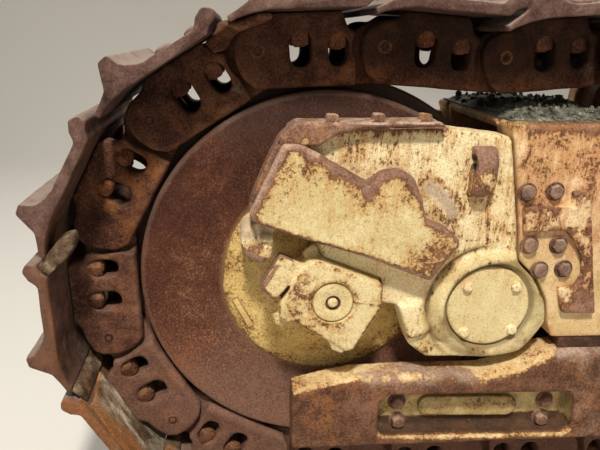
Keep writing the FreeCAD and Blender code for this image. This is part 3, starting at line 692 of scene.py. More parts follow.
PINS = {}
_st = 2 * math.degrees(math.asin(P / 2 / 625.0))
for k in range(1, 8):
    _a = math.radians(78.9 + _st * (k - 1))
    PINS[k] = np.array((625.0 * math.cos(_a), 625.0 * math.sin(_a)))
for k, sl in ((0, -3.2), (-1, 5.5), (-2, 5.5)):
    PINS[k] = PINS[k + 1] + P * np.array((math.cos(math.radians(sl)), math.sin(math.radians(sl))))
for k, drop in ((8, 1.4), (9, 0.0), (10, 0.0), (11, 0.0)):
    _dz = -626.0 - drop - PINS[k - 1][1]
    PINS[k] = np.array((PINS[k - 1][0] + math.sqrt(P * P - _dz * _dz), -626.0 - drop))
LINKS = range(-1, 12)


def put(v, k):
    """From a link's own frame (along, y, outward) to link k's place."""
    a, d = PINS[k], (PINS[k - 1] - PINS[k]) / np.linalg.norm(PINS[k - 1] - PINS[k])
    v = np.asarray(v, float)
    return np.column_stack((a[0] + v[:, 0] * d[0] - v[:, 2] * d[1], v[:, 1], a[1] + v[:, 0] * d[1] + v[:, 2] * d[0]))


def ease(co, pts, r, face, closed=False, power=1.0):
    """Rounds the outer face's edge along a line to radius r; face is the |y| of the face."""
    d = near_line(co[:, 0], co[:, 2], pts, closed)
    t = np.clip(1 - d / r, 0, 1)
    drop = r * (1 - np.sqrt(np.maximum(0, 1 - t * t))) * power
    s = np.sign(co[:, 1])
    depth = face - np.abs(co[:, 1])
    w = np.clip(1 - depth / (1.4 * r), 0, 1)
    out = co.copy()
    out[:, 1] = s * (np.abs(co[:, 1]) - drop * w)
    return out


def band(d, w, tail=0.0, reach=35.0):
    """Full at a line, fading within w, with a long weak tail."""
    return np.exp(-(d / w) ** 2) + tail * np.exp(-d / reach)


def both(fn):
    """Makes a piece on the outer side and its mirror image on the inner side."""
    for side, word in ((-1, "outer"), (1, "inner")):
        fn(side, word)


def sided(side, parts):
    return [p if side < 0 else flip(p) for p in parts]


# --------------------------------------------------------------- idler wheel
def lathe(rows, n, step):
    """Closed (radius, y) outline turned about the wheel axis, cut into rows no longer than step."""
    pts = []
    for (r0, y0), (r1, y1) in zip(rows, rows[1:] + rows[:1]):
        k = max(1, int(math.ceil(math.hypot(r1 - r0, y1 - y0) / step)))
        pts += [(r0 + (r1 - r0) * i / k, y0 + (y1 - y0) * i / k) for i in range(k)]
    a = np.linspace(0, 2 * math.pi, n, endpoint=False)
    v = [(r * math.cos(t), y, r * math.sin(t)) for r, y in pts for t in a]
    q = len(pts)
    f = [[i * n + j, i * n + (j + 1) % n, ((i + 1) % q) * n + (j + 1) % n, ((i + 1) % q) * n + j] for i in range(q) for j in range(n)]
    return np.array(v), f


half = [(70, 214), (136, 214.5), (142, 213), (150, 207), (160, 201), (174, 195.5), (262, 183), (276, 180), (282, 177.5),
        (285, 173.5), (289, 171.5), (300, 171.3), (420, 173.5), (488, 174.6), (495, 174), (501, 171), (504.3, 166),
        (505, 158), (504.2, 140), (504, 112), (505, 104), (508, 100), (514, 98), (524, 97), (532, 94.5), (538, 89), (540, 82)]
rows = [(r, -y) for r, y in half] + [(r, y) for r, y in reversed(half)]
v, f = lathe(rows, 288, 15.0)
me = to_mesh("idler_wheel_casting", v, [g[::-1] for g in f])
co = get_co(me)
rad = np.hypot(co[:, 0], co[:, 2])
no = get_no(me)
lump = 0.9 * rough(co, 70, 3, 3) + 0.25 * rough(co, 16, 9, 2)
co2 = co + no * (np.where(rad < 75, 0, lump) - 0.35)[:, None]
set_co(me, co2)
attr(me, "wear", np.clip(np.einsum("ij,ij->i", no, co - smoothed(edges(me), co, 3, 0.6)) / 1.6, -1, 1))
finish_piece("idler_wheel_casting", me, M["wheel"], "idler", ("idler_wheel",))


# a small raised casting pad on the hub
pads = []
for side in (-1, 1):
    v, f = prism([(-260, -64), (-245, -56), (-200, -139), (-215, -150)], -191.5, -176)
    dy = np.interp(np.hypot(v[:, 0], v[:, 2]), (174, 262), (-195.5 - 5.0, -183 - 5.0)) + 191.5
    v[:, 1] += np.where(v[:, 1] < -185, dy, 0)
    pads.append((v, f) if side < 0 else flip((v, f)))
# The pads' sides get rust and darkening into a dark outline: rust, and painted shade standing in for the small step's
# shadow.
crisp_piece("hub_pads", pads, M["hub_pad"], body="idler", bevel=1.8, seg=2, deg=50,
            region=lambda co, no: {"rust": 0.75 * sst(0.97, 0.80, np.abs(no[:, 1])) - 0.02, "dirt": 0.30 * sst(0.99, 0.90, np.abs(no[:, 1]))})

# ------------------------------------------------------------- track links
def make_links(side, word, voxel):
    v, f = join([prism(arcs(LAP_A), 141, 175), prism(arcs(LAP_B), 105, 141.5)])
    holes = []
    for s0, r, top in WINDOWS:
        holes.append(prism(arcs([(s0 - 0.90 * r, -43, 0.84 * r), (s0 + 0.90 * r, -43, 0.84 * r), (s0 + r, top, 0.9 * r),
                                 (s0 - r, top, 0.9 * r)]), 50, 300))
    holes.append(prism(ring(P, 0, 78), 141.5, 300))
    holes.append(prism(ring(0, 0, 78), 0, 139))
    v = v + (0, 0, 0)
    o = obj_of("tmp_link", to_mesh("tmp", v, f))
    c = obj_of("tmp_cut", to_mesh("tmp", *join(holes)))
    b = o.modifiers.new("cut", "BOOLEAN")
    b.operation, b.object, b.solver, b.use_self = "DIFFERENCE", c, "EXACT", True
    me = baked(o)
    bpy.data.objects.remove(c)
    o = obj_of("tmp_link", me)
    r = o.modifiers.new("skin", "REMESH")
    r.mode, r.voxel_size = "VOXEL", voxel / 1000.0
    base = baked(o)
    raw = get_co(base)
    raw = smoothed(edges(base), raw, 3, 0.5)
    # rail edge broken by a wide bevel, the lobes by a smaller one
    raw = ease(raw, [(-40, -D), (P - 68, -D)], 15, 175)
    raw = ease(raw, [(-8, -D), (-40, -66), (-58, -20), (-59, 20), (-44, 46), (-14, 62), (22, 70), (44, U)], 9, 175)
    # the lobe and the rail strip stand a little proud of the window zone
    far = np.hypot(raw[:, 0], raw[:, 2])
    low_zone = sst(62, 84, far) * sst(-70, -54, raw[:, 2]) * sst(162, 172, raw[:, 1]) * (raw[:, 1] > 150)
    raw[:, 1] -= 3.6 * low_zone
    raw[:, 1] = -raw[:, 1] if side < 0 else raw[:, 1]
    if side < 0:
        base.flip_normals()
    polys = [tuple(p.vertices) for p in base.polygons]
    allv, allf, attrs, off = [], [], {"wear": [], "rust": [], "dirt": [], "shade_and_grime": [], "bare": []}, 0
    set_co(base, raw)
    wear = wear_of(base, raw, voxel)
    no = get_no(base)
    s, n = raw[:, 0], raw[:, 2]
    face = sst(160, 172, np.abs(raw[:, 1]))
    for k in LINKS:
        seed = 40 + 3 * k + (100 if side > 0 else 0)
        d = 1.5 * rough(raw, 70, seed, 2) + 0.8 * rough(raw, 18, seed + 50, 2)
        co = raw + no * ((d - 0.9) * (1 - 0.9 * blob(s, n, 0, 0, 20)))[:, None]
        low = {-1: .45, 0: .42, 1: .30, 2: .30, 3: .48, 4: .62, 5: .55, 6: .45, 7: .45}.get(k, .4)
        orange = low * (0.30 + 0.30 * rough(raw, 90, seed + 7, 2)) * face + 0.30 * blob(s, n, 150, -40, 60) * low + 0.35 * blob(s, n, 240, -10, 45) * low
        dirt = 0.42 * blob(s, n, 225, -45, 30) * (k < 4) + 0.25 * blob(s, n, 30, 5, 26) * (k < 1) + 0.5 * sst(60, 88, n) * (k >= 5)
        allv.append(put(co, k))
        allf += [[i + off for i in g] for g in polys]
        off += len(co)
        attrs["wear"].append(wear)
        attrs["rust"].append(orange)
        attrs["dirt"].append(dirt)
        attrs["bare"].append(np.clip({4: .15, 5: .40}.get(k, 0.95 if k > 5 else 0.0) * (0.85 + 0.4 * rough(raw, 70, seed + 29, 2)), 0, 1.2))
        # Upper links darkened as painted shade where the shoes overhang them.
        upper_shade = {-1: .80, 0: .78, 1: .72, 2: .42, 3: .22, 4: .14}.get(k, 0.0)
        attrs["shade_and_grime"].append(np.clip(1.25 * upper_shade * (1.0 + 0.4 * rough(raw, 80, seed + 13, 2)) * sst(-92, -15, n), 0, 1))
    me = to_mesh("links", np.concatenate(allv), allf)
    for key, parts in attrs.items():
        attr(me, key, np.concatenate(parts))
    finish_piece(word + "_link_castings", me, M["link"], "undercarriage", (word + "_track_links",))


make_links(-1, "outer", 6.6)
make_links(1, "inner", 11.0)

# pin ends: a punched mark in the middle of each lap, flush with it
marks = []
for k in range(-1, 11):
    for sgn in (-1, 1):
        c = put([(0, 174.0 * sgn, 0)], k)[0]
        marks.append(turned(c, (0, sgn, 0), [(-6, 17), (0.6, 17), (1.5, 14), (2.4, 11.5), (2.6, 9.5), (1.2, 7.5), (-2.4, 5.0), (-3.4, 0)], 24))
pin_at = np.array([[q[0], q[2]] for q in (put([(0, 0, 0)], k)[0] for k in range(-1, 11))])


def pin_region(co, no):
    r = np.hypot(co[:, 0, None] - pin_at[:, 0], co[:, 2, None] - pin_at[:, 1]).min(axis=1)
    # A dark ring and a pale centre: painted shade and a painted highlight for the punched dimple.
    return {"shade_and_grime": 0.85 * sst(12.5, 10.5, r) * sst(4.0, 6.5, r), "wear": 1.4 * sst(6.5, 4.5, r), "dirt": 0.5 * sst(6.5, 4.5, r), "bare": 0.6 * sst(-40, -200, co[:, 2]) * sst(12, 15, r)}


crisp_piece("pin_ends", marks, M["link"], bevel=0, deg=50, replaces=("track_pins",), region=pin_region)

nuts = []
for k in LINKS:
    for s0, r, top in WINDOWS:
        for sgn in (-1, 1):
            spin = 0.3 * math.sin(7.3 * k + s0 + sgn)
            body = turned((s0 - 1, 145 * sgn, top + 3), (0, 0, -1), [(0, 28), (30, 28), (37, 24.0), (37, 0)], 6, spin)
            tip = turned((s0 - 1, 145 * sgn, top - 32), (0, 0, -1), [(0, 15.5), (3, 15.5), (6, 12.0), (6, 0)], 16)
            for v, f in (body, tip):
                nuts.append((put(v, k), f))
crisp_piece("shoe_nuts", nuts, M["nut"], bevel=1.6, seg=2, deg=40,
            region=lambda co, no: {"rust": 0.30 * sst(-200, -290, co[:, 2]), "bare": 0.30 * sst(-120, -260, co[:, 2])})

# ------------------------------------------------------------- track shoes
prof = np.array(ccw(arcs(SHOE, 16)))


def resample(poly, step):
    out = []
    for a, b in zip(poly, np.roll(poly, -1, axis=0)):
        k = max(1, int(round(np.linalg.norm(b - a) / step)))
        out += [a + (b - a) * i / k for i in range(k)]
    return np.array(out)


prof = resample(prof, 10.5)
nxt, prv = np.roll(prof, -1, axis=0), np.roll(prof, 1, axis=0)
tan = nxt - prv
out_n = np.column_stack((tan[:, 1], -tan[:, 0])) / np.linalg.norm(tan, axis=1)[:, None]
ys = [0.0, 1.2, 3.6, 8.0, 14.0, 24.0, 38.0, 56.0, 80.0]
ys = ys + list(np.linspace(104, 556, 19)) + [660.0 - y for y in reversed(ys)]
inset = {0: 4.2, 1: 1.9, 2: 0.55}


def shoe_mesh(k):
    n = len(prof)
    V, F = [], []
    for i, y in enumerate(ys):
        j = min(i, len(ys) - 1 - i)
        p = prof - out_n * inset.get(j, 0.0)
        V += [(q[0], y - 330.0, q[1]) for q in p]
    for i in range(len(ys) - 1):
        for j in range(n):
            a, b = i * n + j, i * n + (j + 1) % n
            F.append([b, a, a + n, b + n])
    F.append(list(range(n)))
    F.append(list(range(len(ys) * n - 1, (len(ys) - 1) * n - 1, -1)))
    V = np.array(V)
    me = to_mesh("shoe", V, F)
    co = get_co(me)
    no = get_no(me)
    s, nn, y = co[:, 0], co[:, 2], co[:, 1]
    seed = 200 + 5 * k
    wavy = 1.6 * rough(co, 120, seed, 2) + 0.7 * rough(co, 24, seed + 3, 2)
    tip = sst(135, 170, nn) * (s < 60)
    notch = tip * (4.0 * np.maximum(0, rough(co * (1, 1, 0.2), 60, seed + 9, 2)) + 1.6 * np.maximum(0, rough(co, 15, seed + 11, 2)))
    endcap = (np.abs(y) > 329.5)
    co2 = co + no * (np.where(endcap, 0.0, wavy) - 1.0)[:, None]
    co2[:, 2] -= notch
    lim = 329.3
    co2[:, 1] = np.clip(co2[:, 1], -lim, lim)
    set_co(me, co2)
    wear = np.clip(np.einsum("ij,ij->i", no, co - smoothed(edges(me), co, 2, 0.6)) / 2.2, -1, 1)
    return me, co2, wear


shoe_parts, shoe_att = [], {"wear": [], "rust": [], "dirt": [], "shade_and_grime": []}
for k in LINKS:
    me, co, wear = shoe_mesh(k)
    s, y, n = co[:, 0], co[:, 1], co[:, 2]
    edge = sst(300, 328, np.abs(y))
    muddy = {4: 0.25, 5: 0.45, 6: 0.62, 7: 0.6}.get(k, 0.35 if k > 7 else 0.05)
    inner = sst(100, 90, n)
    shoe_att["wear"].append(wear * 1.15)
    shoe_att["rust"].append({5: 0.35, 6: 0.85, 7: 0.8, 8: 0.5}.get(k, 0.05) * edge + 0.10 * rough(co, 90, 300 + k, 2)
                            + (0.75 if k >= 6 else 0.45 if k >= 4 else 0.15) * inner * (rough(co, 120, 320 + k, 2) * 0.7 + 0.6))
    shoe_att["dirt"].append(muddy * (0.5 + 0.6 * rough(co, 60, 340 + k, 3)) * (0.5 + 0.5 * inner) + 0.5 * (k >= 6) * sst(60, 10, s) * sst(100, 90, n) + 0.16 * sst(100, 118, n) * (1 - sst(120, 140, n)) * (k < 4))
    # Upper shoes' inner faces darkened as painted shade under the overhang; the lower shoes' inner leading lip is
    # darkened too.
    shoe_att["shade_and_grime"].append(np.clip({-1: 0.6, 0: 0.6, 1: 0.6, 2: 0.55, 3: 0.35, 4: 0.2}.get(k, 0.0) * inner * sst(330, 300, np.abs(y)) + 0.38 * (k >= 5) * sst(100, 40, s) * inner, 0, 1))
    shoe_parts.append((put(co, k), [list(p.vertices) for p in me.polygons]))
    bpy.data.meshes.remove(me)
me = to_mesh("shoes", *join(shoe_parts))
for key, val in shoe_att.items():
    attr(me, key, np.concatenate(val))
finish_piece("shoe_plates", me, M["shoe"], "undercarriage", ("track_shoes",), deg=50)

heads = []
for k in LINKS:
    for i, s0 in enumerate((124.0, 209.0)):
        for sgn in (-1, 1):
            w = 1.0 - 0.25 * abs(math.sin(3.1 * k + s0 + sgn))
            v, f = turned((s0, 142 * sgn, 114), (0.02 * math.sin(k + s0), 0.03 * sgn, 1),
                          [(0, 25), (9 * w, 25.5), (14 * w, 23.5), (18 * w, 19), (20.5 * w, 12), (21.5 * w, 5), (21.5 * w, 0)], 18)
            heads.append((put(v, k), f))
crisp_piece("shoe_bolt_heads", heads, M["shoe"], bevel=0, deg=45)


# ------------------------------------------------------------ arm and guards
def face_w(co, face, depth=14):
    """1 on the outer face, 0 on what lies behind it."""
    return sst(face - depth, face - depth * 0.4, np.abs(co[:, 1]))


def guard_piece(side, word):
    left = [(-60, 378), (-100, 396), (-141, 398), (-222, 227), (-212, 206)]
    top = [(-100, 396), (-53, 374), (-31, 356), (10, 335), (48, 313), (67, 302), (100, 330), (142, 338), (178, 320), (195, 285)]
    right = [(195, 285), (219, 211), (275, 188), (316, 155), (243, 49)]
    low = [(-212, 206), (-95, 165), (62, 118), (217, 58), (243, 49)]

    def shape(co):
        co = ease(co, left, 24, 345)
        co = ease(co, top, 17, 345)
        co = ease(co, right, 13, 345)
        return ease(co, low, 4, 345)

    def region(co, no):
        x, z = co[:, 0], co[:, 2]
        dl, dt, dr, dw = (near_line(x, z, q) for q in (left, top, right, low))
        n1, n2 = rough(co, 30, 11, 3), rough(co * (1, 1, 0.25), 14, 12, 3)
        front = face_w(co, 345, 30)
        drip = np.clip(0.5 + 1.1 * n2, 0, 1.2)
        rust = np.maximum(1.25 * band(dl, 15 + 4 * n1, 0.30, 26), 1.10 * band(dt, 13 + 6 * n2, 0.25 + 0.30 * drip, 36))
        rust = np.maximum(rust, 0.95 * band(dw, 8 + 4 * n1, 0.28, 16))
        rust = np.maximum(rust, 0.80 * band(dr, 9 + 3 * n1, 0.32, 24))
        rust += 0.42 * blob(x, z, 228, 92, 58) + 0.16 * blob(x, z, 262, 150, 45) + 0.26 * blob(x, z, 66, 272, 36) * (0.7 + n2)
        rust += 0.14 * blob(x, z, 160, 262, 55) * (0.6 + n2) + 0.12 * blob(x, z, -75, 345, 60) * (0.6 + n2)
        return {"rust": rust * front + 1.0 * (1 - front) * (dw > 12), "bare": 0.52 * band(dl, 15 + 4 * n1, 0.30, 26) * front, "dirt": 0.10 * blob(x, z, 0, 200, 150)}

    cast(word + "_guard_casting", sided(side, [prism(arcs(GUARD), -345, -295)]), 4.0 if side < 0 else 6.0, M["cream"],
         amp=1.1, grain=60, seed=21 + side, smooth=4, shape=shape, region=region, replaces=(word + "_arm_guard",))


both(guard_piece)


def arm_piece(side, word):
    trimmed = ARM[:19] + [(-150, 172, 8), (-158, 152, 6), (-154, 137, 8), (-158, 103, 12), (-188, 82, 16), (-230, 110, 16), (-240, 138, 14),
                          (-240, 174, 14), (-224, 191, 10), (-204, 186, 8), (-190, 200, 8), (-150, 300, 30)]
    parts = [prism(arcs(trimmed), -295, -222), prism(arcs(STRIP), -301, -285),
             prism(arcs([(170, -30, 4), (236, -24, 4), (270, -108, 4), (210, -131, 4)]), -313, -280),
             prism(ring(*PIVOT, 60), -292, -222)]

    def shape(co):
        x, z = co[:, 0], co[:, 2]
        out = co.copy()
        r = np.hypot(x - PIVOT[0], z - PIVOT[1])
        front = sst(286, 292, np.abs(co[:, 1]))
        rim = 124 + 24 * sst(-0.3, 0.7, (x - PIVOT[0]) / (r + 1e-6))
        dish = front * (24 * sst(rim, 113, r) - 12 * sst(rim + 34, rim + 4, r))
        groove = np.exp(-((r - 166) / 9) ** 2) * sst(0.0, -0.35, (x - PIVOT[0]) / (r + 1e-6)) * (z > -150)
        dish += 12 * groove * front
        front = front * (np.abs(co[:, 1]) < 297)
        fold = (8 * sst(150, 112, x) + 18 * sst(-16, -56, x)) * (z < 260) * (z > -60) * sst(258, 225, z) * front
        fold *= sst(-150, -120, x)
        out[:, 1] = np.sign(co[:, 1]) * (np.abs(co[:, 1]) - dish - fold)
        out = ease(out, [(129, -30), (172, -37), (213, -152), (264, -194), (426, -198), (532, -180), (592, -92), (578, -30), (541, 36)], 9, 295)
        out[:, 1] += np.sign(out[:, 1]) * 12 * sst(284, 292, np.abs(co[:, 1])) * sst(-148, -156, x) * sst(226, 214, z)
        back = sst(-192, -184, x) * sst(153, 163, z) * sst(240, 215, z) * sst(-140, -152, x) * (np.abs(co[:, 1]) > 262)
        out[:, 1] -= np.sign(out[:, 1]) * 20 * back
        hook = [(-154, 137), (-158, 103), (-188, 82), (-230, 110), (-240, 138), (-240, 174), (-224, 191), (-204, 186), (-198, 146), (-154, 137)]
        return ease(out, hook, 15, 305)

    def region(co, no):
        x, z = co[:, 0], co[:, 2]
        n1, n2 = rough(co, 34, 31, 3), rough(co * (1, 1, 0.22), 16, 32, 3)
        r = np.hypot(x - PIVOT[0], z - PIVOT[1])
        high = sst(60, 150, z)
        rust = 0.08 * high + 0.07 * blob(x, z, 200, 300, 120) * (0.8 + n2) + 0.55 * np.exp(-(near_line(x, z, [(-60, 431), (250, 434)]) / (15 + 8 * n2)) ** 2)
        rust += 0.24 * blob(x, z, 110, 385, 45) * (0.5 + n2) + 0.22 * blob(x, z, 40, 385, 42) * (0.6 + n2) + 0.22 * blob(x, z, 335, 250, 45) * (0.6 + n1) + 0.22 * blob(x, z, 300, 170, 40) * (0.5 + n2)
        around = sst(174, 150, r) * sst(112, 118, r)
        rust += around * (-0.12 + 0.06 * np.maximum(0, n1)) + 0.18 * blob(x, z, 262, -178, 50) * (0.8 + n1) + 0.10 * blob(x, z, 300, 60, 60)
        rust += 0.20 * np.exp(-((r - 166) / 6) ** 2) * (0.9 + 1.2 * n1) * (x < 424) + 0.20 * blob(x, z, 230, -160, 40) + 0.30 * blob(x, z, 285, -95, 24)
        rust += 0.20 * n1 * sst(300, 150, z) - 0.08 * sst(130, 60, z) * (r > 160) + 0.22 * np.maximum(0, n1) * sst(-90, -150, z)
        rust += 0.30 * np.exp(-(near_line(x, z, [(205, -131), (268, -112)]) / 7) ** 2)
        edge = near_line(x, z, [(383, 410), (396, 330), (384, 240), (404, 86)])
        rust += 0.25 * np.exp(-(edge / 5) ** 2)
        bare = 0.88 * np.exp(-(near_line(x, z, [(232, 282), (262, 262), (296, 220)]) / (21 + 7 * n1)) ** 2) * (np.abs(co[:, 1]) > 286)
        rust += 0.22 * np.exp(-((near_line(x, z, [(232, 282), (262, 262), (296, 220)]) - 26) / 8) ** 2)
        hook = (x < -150) * (z < 225)
        rust = np.where(hook, 0.02 + 0.80 * sst(122, 98, z + 0.50 * (x + 200)) + 0.14 * n1 + 0.36 * blob(x, z, -196, 128, 24) + 0.12 * sst(160, 130, z), rust)
        bare = np.where(hook, 0.62 * sst(138, 162, z) + 0.45 * sst(118, 100, z + 0.50 * (x + 200)), bare)
        # Dirt: grime in the ring at the cap's edge, on the lower arm and in stains; the olive darkening under the
        # guard, in the groove round the ring's left side, on the ring inside r 170 and more on its right slope is
        # painted shade; the hook's top is darker too.
        dirt = 0.15 * sst(150, 60, x) * (z < 250) * (z > 0) * (x > -150) + 0.34 * hook * sst(146, 172, z) + 0.75 * np.exp(-((r - 119) / 6) ** 2) + 0.40 * np.exp(-((r - 174) / 6) ** 2) * (x < 424) + 0.22 * sst(170, 140, r) + 0.14 * sst(0, -120, z) + around * (0.14 + 0.10 * sst(0.1, 0.9, (x - PIVOT[0]) / (r + 1e-6)) + 0.12 * n1) + 0.12 * blob(x, z, 262, -178, 60)
        return {"rust": rust, "bare": bare, "dirt": dirt}

    cast(word + "_arm_casting", sided(side, parts), 4.9 if side < 0 else 8.0, M["carrier"], amp=0.9, grain=60, seed=31 + side,
         smooth=3, shape=shape, region=region, replaces=(word + "_carrier_arm",))


both(arm_piece)


def block_piece(side, word):
    parts = [prism(arcs(BLOCK), -326, -222),
             prism(arcs([(-139, 110, 4), (-106, 95, 5), (-106, 46, 4), (-147, -5, 6), (-157, -6, 5), (-189, 26, 5)]), -318, -268),
             prism(arcs([(-124, 98, 5), (-64, 80, 8), (-62, 44, 4), (-112, 45, 3)]), -315, -268),
             prism(arcs([(-98, 40, 3), (-136, -10, 4), (-141, -24, 6), (-140, -52, 5), (-118, -69, 4), (-92, -60, 4)]), -321, -268),
             prism(arcs([(-150, 75, 4), (-84, 66, 4), (-104, -30, 4), (-168, 10, 4)]), -284, -262),
             prism(arcs([(-156, -60, 4), (-118, -50, 4), (-108, -84, 5), (-128, -98, 5), (-150, -84, 5)]), -292, -262),
             prism(arcs([(-126, -50, 4), (-90, -50, 4), (-96, -84, 4), (-126, -84, 4)]), -280, -262),
             prism(arcs([(-12, -120, 4), (44, -140, 4), (30, -165, 6), (2, -152, 6)]), -318, -290),
             prism(arcs([(-88, 100, 6), (-52, 128, 8), (124, 62, 8), (146, 44, 6), (146, -34, 6), (110, -34, 4), (110, 20, 4), (-50, 84, 4)]), -272, -258)]
    cuts = [prism(ring(-3, -14, 56.5, 64), -340, -316), prism(ring(0, 0, 70.5, 64), -302, -200)]

    def shape(co):
        return ease(co, [p[:2] for p in BLOCK], 7, 326, closed=True)

    def region(co, no):
        x, z = co[:, 0], co[:, 2]
        n1 = rough(co, 26, 41, 3)
        r = np.hypot(x + 3, z + 14)
        lug = (x < -106) * (z > -8)
        rust = 0.20 * np.exp(-((r - 62) / 9) ** 2) * (0.8 + n1) + 0.26 * blob(x, z, -72, 36, 38) * (0.6 + n1) + 0.14 * blob(x, z, 20, -100, 45) + 0.10 * blob(x, z, -90, -40, 40)
        rust += 0.25 * np.exp(-(near_line(x, z, [(126, 34), (126, -28), (58, -150)]) / 8) ** 2) + 0.34 * np.exp(-(near_line(x, z, [(48, -12), (118, -22)]) / 3.5) ** 2)
        rust += 0.34 * np.exp(-(near_line(x, z, [(-52, -4), (-96, 12)]) / 3.5) ** 2)
        rust = np.where(lug, 0.02 + 0.9 * np.exp(-(near_line(x, z, [(-148, 84), (-176, 36)]) / 4) ** 2) + 0.9 * np.exp(-(near_line(x, z, [(-189, 26), (-172, 6), (-153, -7)]) / 9) ** 2)
                        + 0.8 * sst(312, 304, np.abs(co[:, 1])), rust)
        rust += 0.16 * blob(x, z, -95, 20, 45) * (0.7 + n1) + 0.12 * blob(x, z, -70, -60, 45)
        return {"rust": rust, "bare": 0 * x, "dirt": 0.45 * np.exp(-((r - 54) / 3.5) ** 2) + 0.45 * lug * (np.abs(co[:, 1]) < 302)}

    cast(word + "_block_casting", sided(side, parts), 3.6 if side < 0 else 6.0, M["block"], amp=0.7, grain=40, seed=41 + side, smooth=3,
         cuts=sided(side, cuts), shape=shape, region=region, replaces=(word + "_bearing_block",))
    plug = [turned((-3, side * 314, -14), (0, side, 0), [(0, 51.5), (6.5, 51.5), (8.6, 50.0), (9.0, 47), (8.8, 21), (7.4, 19.2), (2.4, 18.4), (2.4, 0)], 56),
            turned((-3, side * 316, -14), (0, side, 0), [(0, 12.5), (5.5, 12.5), (8.0, 10.5), (8.6, 7), (8.8, 0)], 20)]
    crisp_piece(word + "_block_plug", plug, M["block"], bevel=0, deg=42, region=lambda co, no: {
        "rust": 0.75 * np.exp(-((np.hypot(co[:, 0] + 3, co[:, 2] + 14) - 18.8) / 1.2) ** 2),
        "dirt": 0.9 * np.exp(-((np.hypot(co[:, 0] + 3, co[:, 2] + 14) - 18.8) / 1.4) ** 2) + 0.35 * np.exp(-((np.hypot(co[:, 0] + 3, co[:, 2] + 14) - 50) / 2.5) ** 2)})


both(block_piece)


def cover_piece(side, word):
    parts = [prism(arcs(COVER_LIP), -325, -295), prism(COVER_TOP, -325, -224), prism(arcs(FLANK), -322, -262)]
    for cx, cz in ((-25, 452), (86, 455), (199, 457)):
        parts.append(prism(arcs([(cx - 17, cz - 14), (cx + 17, cz - 14), (cx + 15, cz + 11, 5), (cx - 14, cz + 12, 5)]), -318, -286))

    def shape(co):
        return ease(co, [p[:2] for p in COVER_LIP], 9, 325, closed=True)

    def region(co, no):
        x, z = co[:, 0], co[:, 2]
        n1 = rough(co, 22, 51, 3)
        rust = 0.74 + 0.34 * n1 - 0.62 * blob(x, z, -90, 394, 13) - 0.25 * sst(440, 452, z) * (no[:, 2] > 0.4) * (z < 455)
        rust = np.where((x < -100) & (z < 436), 0.9, rust)
        rust = np.where(z > 456, 0.50 + 0.3 * n1, rust)
        return {"rust": rust, "bare": 0.75 * (no[:, 2] > 0.35) * sst(430, 446, z) * (0.8 + n1), "dirt": 0 * x}

    cast(word + "_cover_casting", sided(side, parts), 3.4 if side < 0 else 5.5, M["lip"], amp=1.0, grain=26, seed=51 + side, smooth=3,
         shape=shape, region=region, replaces=(word + "_top_cover",))


both(cover_piece)


def eye_piece(side, word):
    poly = [(-289, 256, 4), (-300, 262, 20), (-338, 282, 22), (-345, 315, 18), (-345, 366, 24), (-320, 389, 14), (-289, 392, 6)]
    parts = [prism_x(arcs(poly), 327, 385)]
    cuts = [turned((320, -315, 350), (1, 0, 0), [(0, 21), (80, 21)], 24)]

    def shape(co):
        # rounded towards its two sides
        t = np.abs(co[:, 0] - 356) / 29
        out = co.copy()
        out[:, 1] += 9 * np.clip(t, 0, 1) ** 3 * sst(300, 335, np.abs(co[:, 1])) * (-np.sign(co[:, 1]))
        return out

    def region(co, no):
        z, n1 = co[:, 2], rough(co, 20, 61, 3)
        hole = np.hypot(np.abs(co[:, 1]) - 315, z - 350)
        # Inside the hole it is darkened as painted shade; the left part near the root is darker too.
        return {"rust": 0.75 * sst(316, 346, z + 14 * n1) + 0.30 * blob(co[:, 0], z, 345, 272, 34) + 0.24 + 0.30 * n1, "bare": 0.30 * sst(346, 384, z),
                "dirt": 0.7 * sst(302, 294, np.abs(co[:, 1])) * (co[:, 0] < 345) + 1.2 * sst(27, 20, hole)}

    cast(word + "_eye_casting", sided(side, parts), 3.2 if side < 0 else 4.5, M["carrier"], amp=0.8, grain=26, seed=61 + side, smooth=6,
         cuts=sided(side, cuts), shape=shape, region=region, replaces=(word + "_lifting_eye",))


both(eye_piece)


def cap_piece(side, word):
    x, z = PIVOT
    disc = turned((x, side * 275.5, z), (0, side, 0), [(0, 112.5), (16, 112.5), (18.5, 111.5), (19.8, 109), (20.4, 104), (21.2, 60), (21.6, 0)], 96)
    crisp_piece(word + "_cap_disc", [disc], M["clean"], bevel=0, deg=50, replaces=(word + "_pivot_cap",),
                region=lambda co, no: {"rust": 0.12 * np.exp(-((np.hypot(co[:, 0] - x, co[:, 2] - z) - 108) / 6) ** 2)})
    bolts = []
    for bx, bz, spin in ((356, 19, 0.3), (493, 18, 0.9), (362, -118, 0.1), (498, -112, 0.6)):
        bx, bz = x + (bx - x) * 0.97, z + (bz - z) * 0.97
        bolts.append(turned((bx, side * 294.5, bz), (0, side, 0), [(0, 15), (3.2, 15), (3.6, 13.5), (3.6, 0)], 24))
        bolts.append(turned((bx, side * 295.5, bz), (0, side, 0), [(0, 13.5), (10.5, 13.5), (12.5, 11.0), (12.5, 0)], 6, spin))
    crisp_piece(word + "_cap_bolts", bolts, M["carrier"], bevel=0.8, deg=40)


both(cap_piece)


